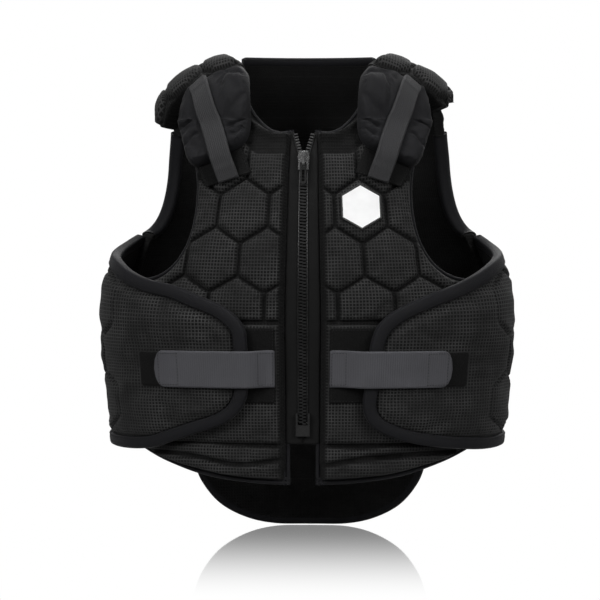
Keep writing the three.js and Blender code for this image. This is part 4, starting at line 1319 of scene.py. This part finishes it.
# What repeats along a line: a mesh on points of the line, up along it and with its back to the cloth
def repeatTree():
    tree = bpy.data.node_groups.new("repeatAlong", "GeometryNodeTree")
    for name, kind in (("Geometry", "Geometry"), ("Piece", "Object"), ("Spacing", "Float"),
                       ("Jitter", "Float"), ("Seed", "Int"), ("Material", "Material")):
        tree.interface.new_socket(name, in_out="INPUT", socket_type=f"NodeSocket{kind}")
    tree.interface.new_socket("Geometry", in_out="OUTPUT", socket_type="NodeSocketGeometry")
    new = tree.nodes.new
    given = new("NodeGroupInput").outputs
    out = new("NodeGroupOutput").inputs
    line = new("GeometryNodeMeshToCurve")
    points = new("GeometryNodeCurveToPoints")
    points.mode = "LENGTH"
    away = new("GeometryNodeInputNamedAttribute")
    away.data_type = "FLOAT_VECTOR"
    away.inputs["Name"].default_value = "outward"
    up = new("FunctionNodeAlignRotationToVector")
    up.axis = "Z"
    turn = new("FunctionNodeAlignRotationToVector")
    turn.axis = "Y"
    turn.pivot_axis = "Z"
    piece = new("GeometryNodeObjectInfo")
    each = new("GeometryNodeInstanceOnPoints")
    least = new("ShaderNodeMath")
    least.operation = "SUBTRACT"
    least.inputs[0].default_value = 1.0
    chance = new("FunctionNodeRandomValue")
    chance.data_type = "FLOAT"
    chance.inputs[3].default_value = 1.0
    real = new("GeometryNodeRealizeInstances")
    paint = new("GeometryNodeSetMaterial")
    for source, target in (
        (given["Geometry"], line.inputs["Mesh"]),
        (line.outputs["Curve"], points.inputs["Curve"]),
        (given["Spacing"], points.inputs["Length"]),
        (points.outputs["Tangent"], up.inputs["Vector"]),
        (up.outputs["Rotation"], turn.inputs["Rotation"]),
        (away.outputs["Attribute"], turn.inputs["Vector"]),
        (points.outputs["Points"], each.inputs["Points"]),
        (given["Piece"], piece.inputs["Object"]),
        (piece.outputs["Geometry"], each.inputs["Instance"]),
        (turn.outputs["Rotation"], each.inputs["Rotation"]),
        (given["Jitter"], least.inputs[1]),
        (least.outputs["Value"], chance.inputs[2]),
        (given["Seed"], chance.inputs["Seed"]),
        (chance.outputs[1], each.inputs["Scale"]),
        (each.outputs["Instances"], real.inputs["Geometry"]),
        (real.outputs["Geometry"], paint.inputs["Geometry"]),
        (given["Material"], paint.inputs["Material"]),
        (paint.outputs["Geometry"], out["Geometry"]),
    ):
        tree.links.new(source, target)
    return tree


repeatAlong = repeatTree()


def pathMesh(name, surface, lines, offs):
    vertices = []
    edges = []
    normals = []
    for line, off in zip(lines, offs):
        first = len(vertices)
        vertices += list(place(surface, line, off(line[:, 0], line[:, 1])) * mm)
        normals += list(outward(surface, line[:, 0], line[:, 1]))
        edges += [(first + i, first + i + 1) for i in range(len(line) - 1)]
    mesh = bpy.data.meshes.new(name)
    mesh.from_pydata([tuple(v) for v in vertices], edges, [])
    layer = mesh.attributes.new("outward", "FLOAT_VECTOR", "POINT")
    layer.data.foreach_set("vector", np.array(normals, np.float32).ravel())
    return linked(name, mesh)


def repeated(name, surface, lines, offs, piece, material, settings):
    made = pathMesh(name, surface, lines, offs)
    modifier = made.modifiers.new("repeat", "NODES")
    modifier.node_group = repeatAlong
    values = {"Piece": piece, "Spacing": settings["spacing"] * mm, "Jitter": settings.get("jitter", 0.0),
              "Seed": noiseSeed, "Material": material}
    for item in repeatAlong.interface.items_tree:
        if item.in_out == "INPUT" and item.name in values:
            modifier[item.identifier] = values[item.name]
    graph = bpy.context.evaluated_depsgraph_get()
    mesh = bpy.data.meshes.new_from_object(made.evaluated_get(graph))
    made.modifiers.remove(modifier)
    made.data = mesh
    return made


# Quads between rings of points, and from the last ring to the first where they close
def quadsBetween(rings, count, closes=False):
    faces = []
    for i in range(rings if closes else rings - 1):
        for j in range(count):
            a = i * count
            b = (i + 1) % rings * count
            k = (j + 1) % count
            faces.append((a + j, a + k, b + k, b + j))
    return faces


def toothMesh(name, width, tall, deep):
    x = width / 2
    z = tall / 2
    rows = [(1.0, 0.0), (1.0, deep * 0.7), (0.8, deep)]
    vertices = [(a * k, y, b * k) for k, y in rows for a, b in ((-x, -z), (x, -z), (x, z), (-x, z))]
    faces = [(0, 1, 2, 3), (11, 10, 9, 8)] + [quad[::-1] for quad in quadsBetween(3, 4)]
    return hiddenPiece(name, vertices, faces)


def stitchMesh(name, length, radius):
    turns = np.radians(np.arange(0, 360, 60))
    rings = [(0.35, -length / 2), (1.0, -length / 4), (1.0, length / 4), (0.35, length / 2)]
    vertices = [(radius * k * math.cos(t), radius * k * math.sin(t), z) for k, z in rings for t in turns]
    return hiddenPiece(name, vertices, [tuple(range(6))[::-1], tuple(range(18, 24))] + quadsBetween(4, 6))


def hiddenPiece(name, vertices, faces):
    made = newMesh(name, np.array(vertices, float), faces, smooth=False)
    made.data.attributes.new("outward", "FLOAT_VECTOR", "POINT")
    return made


def removed(*pieces):
    for piece in pieces:
        bpy.data.objects.remove(piece)


zipLook = {
    "pitch": 3.5, "toothWidth": 4.8, "toothTall": 2.3, "toothDeep": 2.6, "cordOff": 3.0, "cordRadius": 0.95,
}


def zipChain():
    tooth = toothMesh("tooth", zipLook["toothWidth"], zipLook["toothTall"], zipLook["toothDeep"])
    halves = []
    for side in (-1, 1):
        foot = -377.5 if side > 0 else -377.5 + zipLook["pitch"] / 2
        run = np.array([(1.7, foot), (1.7, -104), (3.4, -95), (5.0, -89), (11.4, -71.5)], float) * (side, 1)
        teeth = repeated(f"teeth_{side}", trunk, [resample(run, 2)], [level(chainOff)], tooth,
                         plasticMaterial, {"spacing": zipLook["pitch"]})
        turns = np.radians(np.arange(0, 360, 60))
        radius = zipLook["cordRadius"]
        ring = np.stack([radius * np.cos(turns), 1.1 + chainOff - 0.6 + radius * np.sin(turns)], -1)
        cord = swept(f"cord_{side}", trunk, resample(run + (side * zipLook["cordOff"], 0), 2), side, ring)
        cord.data.materials.append(plasticMaterial)
        halves += [teeth, cord]
    finished(merged("zip_chain", halves), plasticMaterial, ["zip_chain"])
    removed(tooth)


stitchLook = {"length": 2.3, "radius": 0.32, "spacing": 3.2, "jitter": 0.12}


# Each row of stitches is a line in the flat pattern and its height off the body
def chestStitches(word, side):
    edge = curve(flapEdges[word], side)
    edge = edge[side * edge[:, 0] < flapSeam - 6]
    rows = [(resample(shifted(edge, -side * (bindingWidth - 1.8)), 3), lambda a, b: flapLift(a, b) + 11.7)]
    onStrap = waistLift(word)
    for a0, a1 in ((30, 44), (124, 144)):
        rows.append((closed(box(side * a0, -334, side * a1, -300), 2), lambda a, b: onStrap(a, b) + 2.45))
    rows.append((closed(sideBox(frontPatch, side, 2), 2), level(patchSeat + 0.8)))
    rows.append((resample(np.array([(side * 24.5, -440.0), (side * 24.5, -96.0)]), 3), level(14.6)))
    return rows


def shoulderStitches(side):
    patch = shoulderPatch * (side, 1)
    middle = patch.mean(0)
    return [(closed(middle + (patch - middle) * 0.92, 2), level(patchSeat + 0.8))]


def stitches():
    stitch = stitchMesh("stitch", stitchLook["length"], stitchLook["radius"])
    chest = chestStitches("right", -1) + chestStitches("left", 1)
    shoulders = shoulderStitches(-1) + shoulderStitches(1)
    for name, surface, rows in (("stitching", trunk, chest), ("shoulder_stitching", shoulder, shoulders)):
        lines, offs = zip(*rows)
        made = repeated(name, surface, lines, offs, stitch, threadMaterial, stitchLook)
        finished(made, threadMaterial)
    removed(stitch)


badgeLook = {"along": 66.5, "height": -150, "inner": 40.2, "outer": 44.5, "low": -0.6, "high": 2.1}


def badgeRim(settings):
    spot = place(trunk, np.array([(settings["along"], settings["height"])], float), [19.6])[0]
    away = outward(trunk, np.array([settings["along"]]), np.array([float(settings["height"])]))[0]
    up = np.array([0, 0, 1]) - away * away[2]
    up /= np.linalg.norm(up)
    across = np.cross(up, away)
    inner, outer, low, high = (settings[key] for key in ("inner", "outer", "low", "high"))
    rows = []
    for size, off in ((inner, low), (inner, high), (outer - 1, high), (outer, high - 0.8), (outer, low)):
        loop = hexagon(0, 0, size)
        rows.append(spot + loop[:, :1] * across + loop[:, 1:] * up + off * away)
    made = newMesh("badge_rim", np.concatenate(rows), quadsBetween(5, 6, closes=True), smooth=False)
    finished(made, rimMaterial)


for word, side in (("right", -1), ("left", 1)):
    sideFlap(word, side)
    yoke(word, side)
    shoulderFlap(word, side)
    fabricStraps(word, side)
    zipTapes(word, side)
print("flaps, yokes and straps made")
backPanel()
print("back panel made")
zipChain()
stitches()
badgeRim(badgeLook)
print("zip, stitches and rim made")

for name, slotName, material in (
    ("zip_box", "zip_plastic", boxMaterial),
    ("zip_slider", "zip_metal", metalMaterial), ("zip_puller", "zip_metal", pullerMaterial),
    ("badge", "badge", badgeMaterial),
):
    nodes[name].data.materials.clear()
    nodes[name].data.materials.append(material)

# Camera, from the photograph's perspective
photoView = {"distance": 3.3, "turned": 2.2, "raised": 2.0, "lens": 178.4, "shift": (-0.0117, -0.0297)}
target = Vector((0, 0, -0.230))
turned = math.radians(photoView["turned"])
raised = math.radians(photoView["raised"])
cameraData = bpy.data.cameras.new("camera")
camera = linked("camera", cameraData)
camera.location = target + photoView["distance"] * Vector((
    math.sin(turned) * math.cos(raised), -math.cos(turned) * math.cos(raised), math.sin(raised)))
camera.rotation_euler = (target - camera.location).to_track_quat("-Z", "Y").to_euler()
cameraData.lens = photoView["lens"]
cameraData.sensor_width = 36
cameraData.shift_x, cameraData.shift_y = photoView["shift"]
cameraData.dof.use_dof = False
bpy.context.scene.camera = camera

# Studio: a white floor with a mirror that fades towards the camera, and large soft lights
floorHeight = cadBounds[0].z - 0.001
floorLook = {"glow": 1.0, "bounce": 0.12, "mirror": 0.78, "rough": 0.03,
             "before": (-0.50, 0.10), "behind": (0.13, 0.32), "beside": (0.30, 0.60)}


def emission(tree, color, strength):
    made = tree.nodes.new("ShaderNodeEmission")
    made.inputs["Color"].default_value = color
    connect(tree, made.inputs["Strength"], strength)
    return made.outputs["Emission"]


def seenByCamera(tree, seen, otherwise):
    path = tree.nodes.new("ShaderNodeLightPath")
    return Value(tree, path.outputs["Is Camera Ray"]) * (seen - otherwise) + otherwise


def bareMaterial(name):
    material = bpy.data.materials.new(name)
    material.use_nodes = True
    tree = material.node_tree
    tree.nodes.clear()
    return material, tree, tree.nodes.new("ShaderNodeOutputMaterial")


def floorMaterial(settings):
    material, tree, out = bareMaterial("floor")
    body = placeAxes(tree)
    split = tree.nodes.new("ShaderNodeSeparateXYZ")
    tree.links.new(body.socket, split.inputs["Vector"])
    depth = Value(tree, split.outputs["Y"])
    beside = Value(tree, split.outputs["X"]).size().step(*settings["beside"])
    fade = depth.step(*settings["before"]) * (1 - depth.step(*settings["behind"])) * (1 - beside)
    mirror = tree.nodes.new("ShaderNodeBsdfGlossy")
    mirror.inputs["Color"].default_value = (1, 1, 1, 1)
    mirror.inputs["Roughness"].default_value = settings["rough"]
    white = emission(tree, (1, 1, 1, 1), seenByCamera(tree, settings["glow"], settings["bounce"]))
    mix = tree.nodes.new("ShaderNodeMixShader")
    connect(tree, mix.inputs["Fac"], fade * settings["mirror"])
    tree.links.new(white, mix.inputs[1])
    tree.links.new(mirror.outputs[0], mix.inputs[2])
    tree.links.new(mix.outputs[0], out.inputs["Surface"])
    return material


def glowMaterial(name, strength):
    material, tree, out = bareMaterial(name)
    tree.links.new(emission(tree, (1, 1, 1, 1), strength), out.inputs["Surface"])
    return material


def flatRectangle(name, corners):
    return newMesh(name, np.array(corners, float) / mm, [(0, 1, 2, 3)], smooth=False)


floor = flatRectangle("floor", [(x, y, floorHeight) for x, y in ((-20, -20), (20, -20), (20, 20), (-20, 20))])
floor.data.materials.append(floorMaterial(floorLook))
backdrop = flatRectangle("backdrop", [(-6, 4, -2), (6, 4, -2), (6, 4, 4), (-6, 4, 4)])
backdrop.data.materials.append(glowMaterial("backdrop", 1.0))
backdrop.visible_camera = False
backdrop.visible_diffuse = False
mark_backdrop(floor, backdrop)

world = bpy.data.worlds.new("studio")
bpy.context.scene.world = world
world.use_nodes = True
background = world.node_tree.nodes["Background"]
background.inputs["Color"].default_value = (1, 1, 1, 1)
connect(world.node_tree, background.inputs["Strength"], seenByCamera(world.node_tree, 1.0, 0.10))

lights = [
    {"name": "key", "at": (-1.7, -2.2, 1.1), "size": 1.3, "power": 50},
    {"name": "fill", "at": (1.9, -2.0, 0.9), "size": 1.3, "power": 38},
    {"name": "top", "at": (0.0, -0.5, 2.2), "size": 1.5, "power": 32},
    {"name": "back", "at": (0.3, 2.4, 1.2), "size": 1.5, "power": 30},
]
for lamp in lights:
    data = bpy.data.lights.new(lamp["name"], "AREA")
    data.shape = "SQUARE"
    data.size = lamp["size"]
    data.energy = lamp["power"]
    made = linked(lamp["name"], data)
    made.location = lamp["at"]
    made.rotation_euler = (target - made.location).to_track_quat("-Z", "Y").to_euler()
bpy.context.scene.view_settings.view_transform = "Standard"
print("studio ready")

low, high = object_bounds()
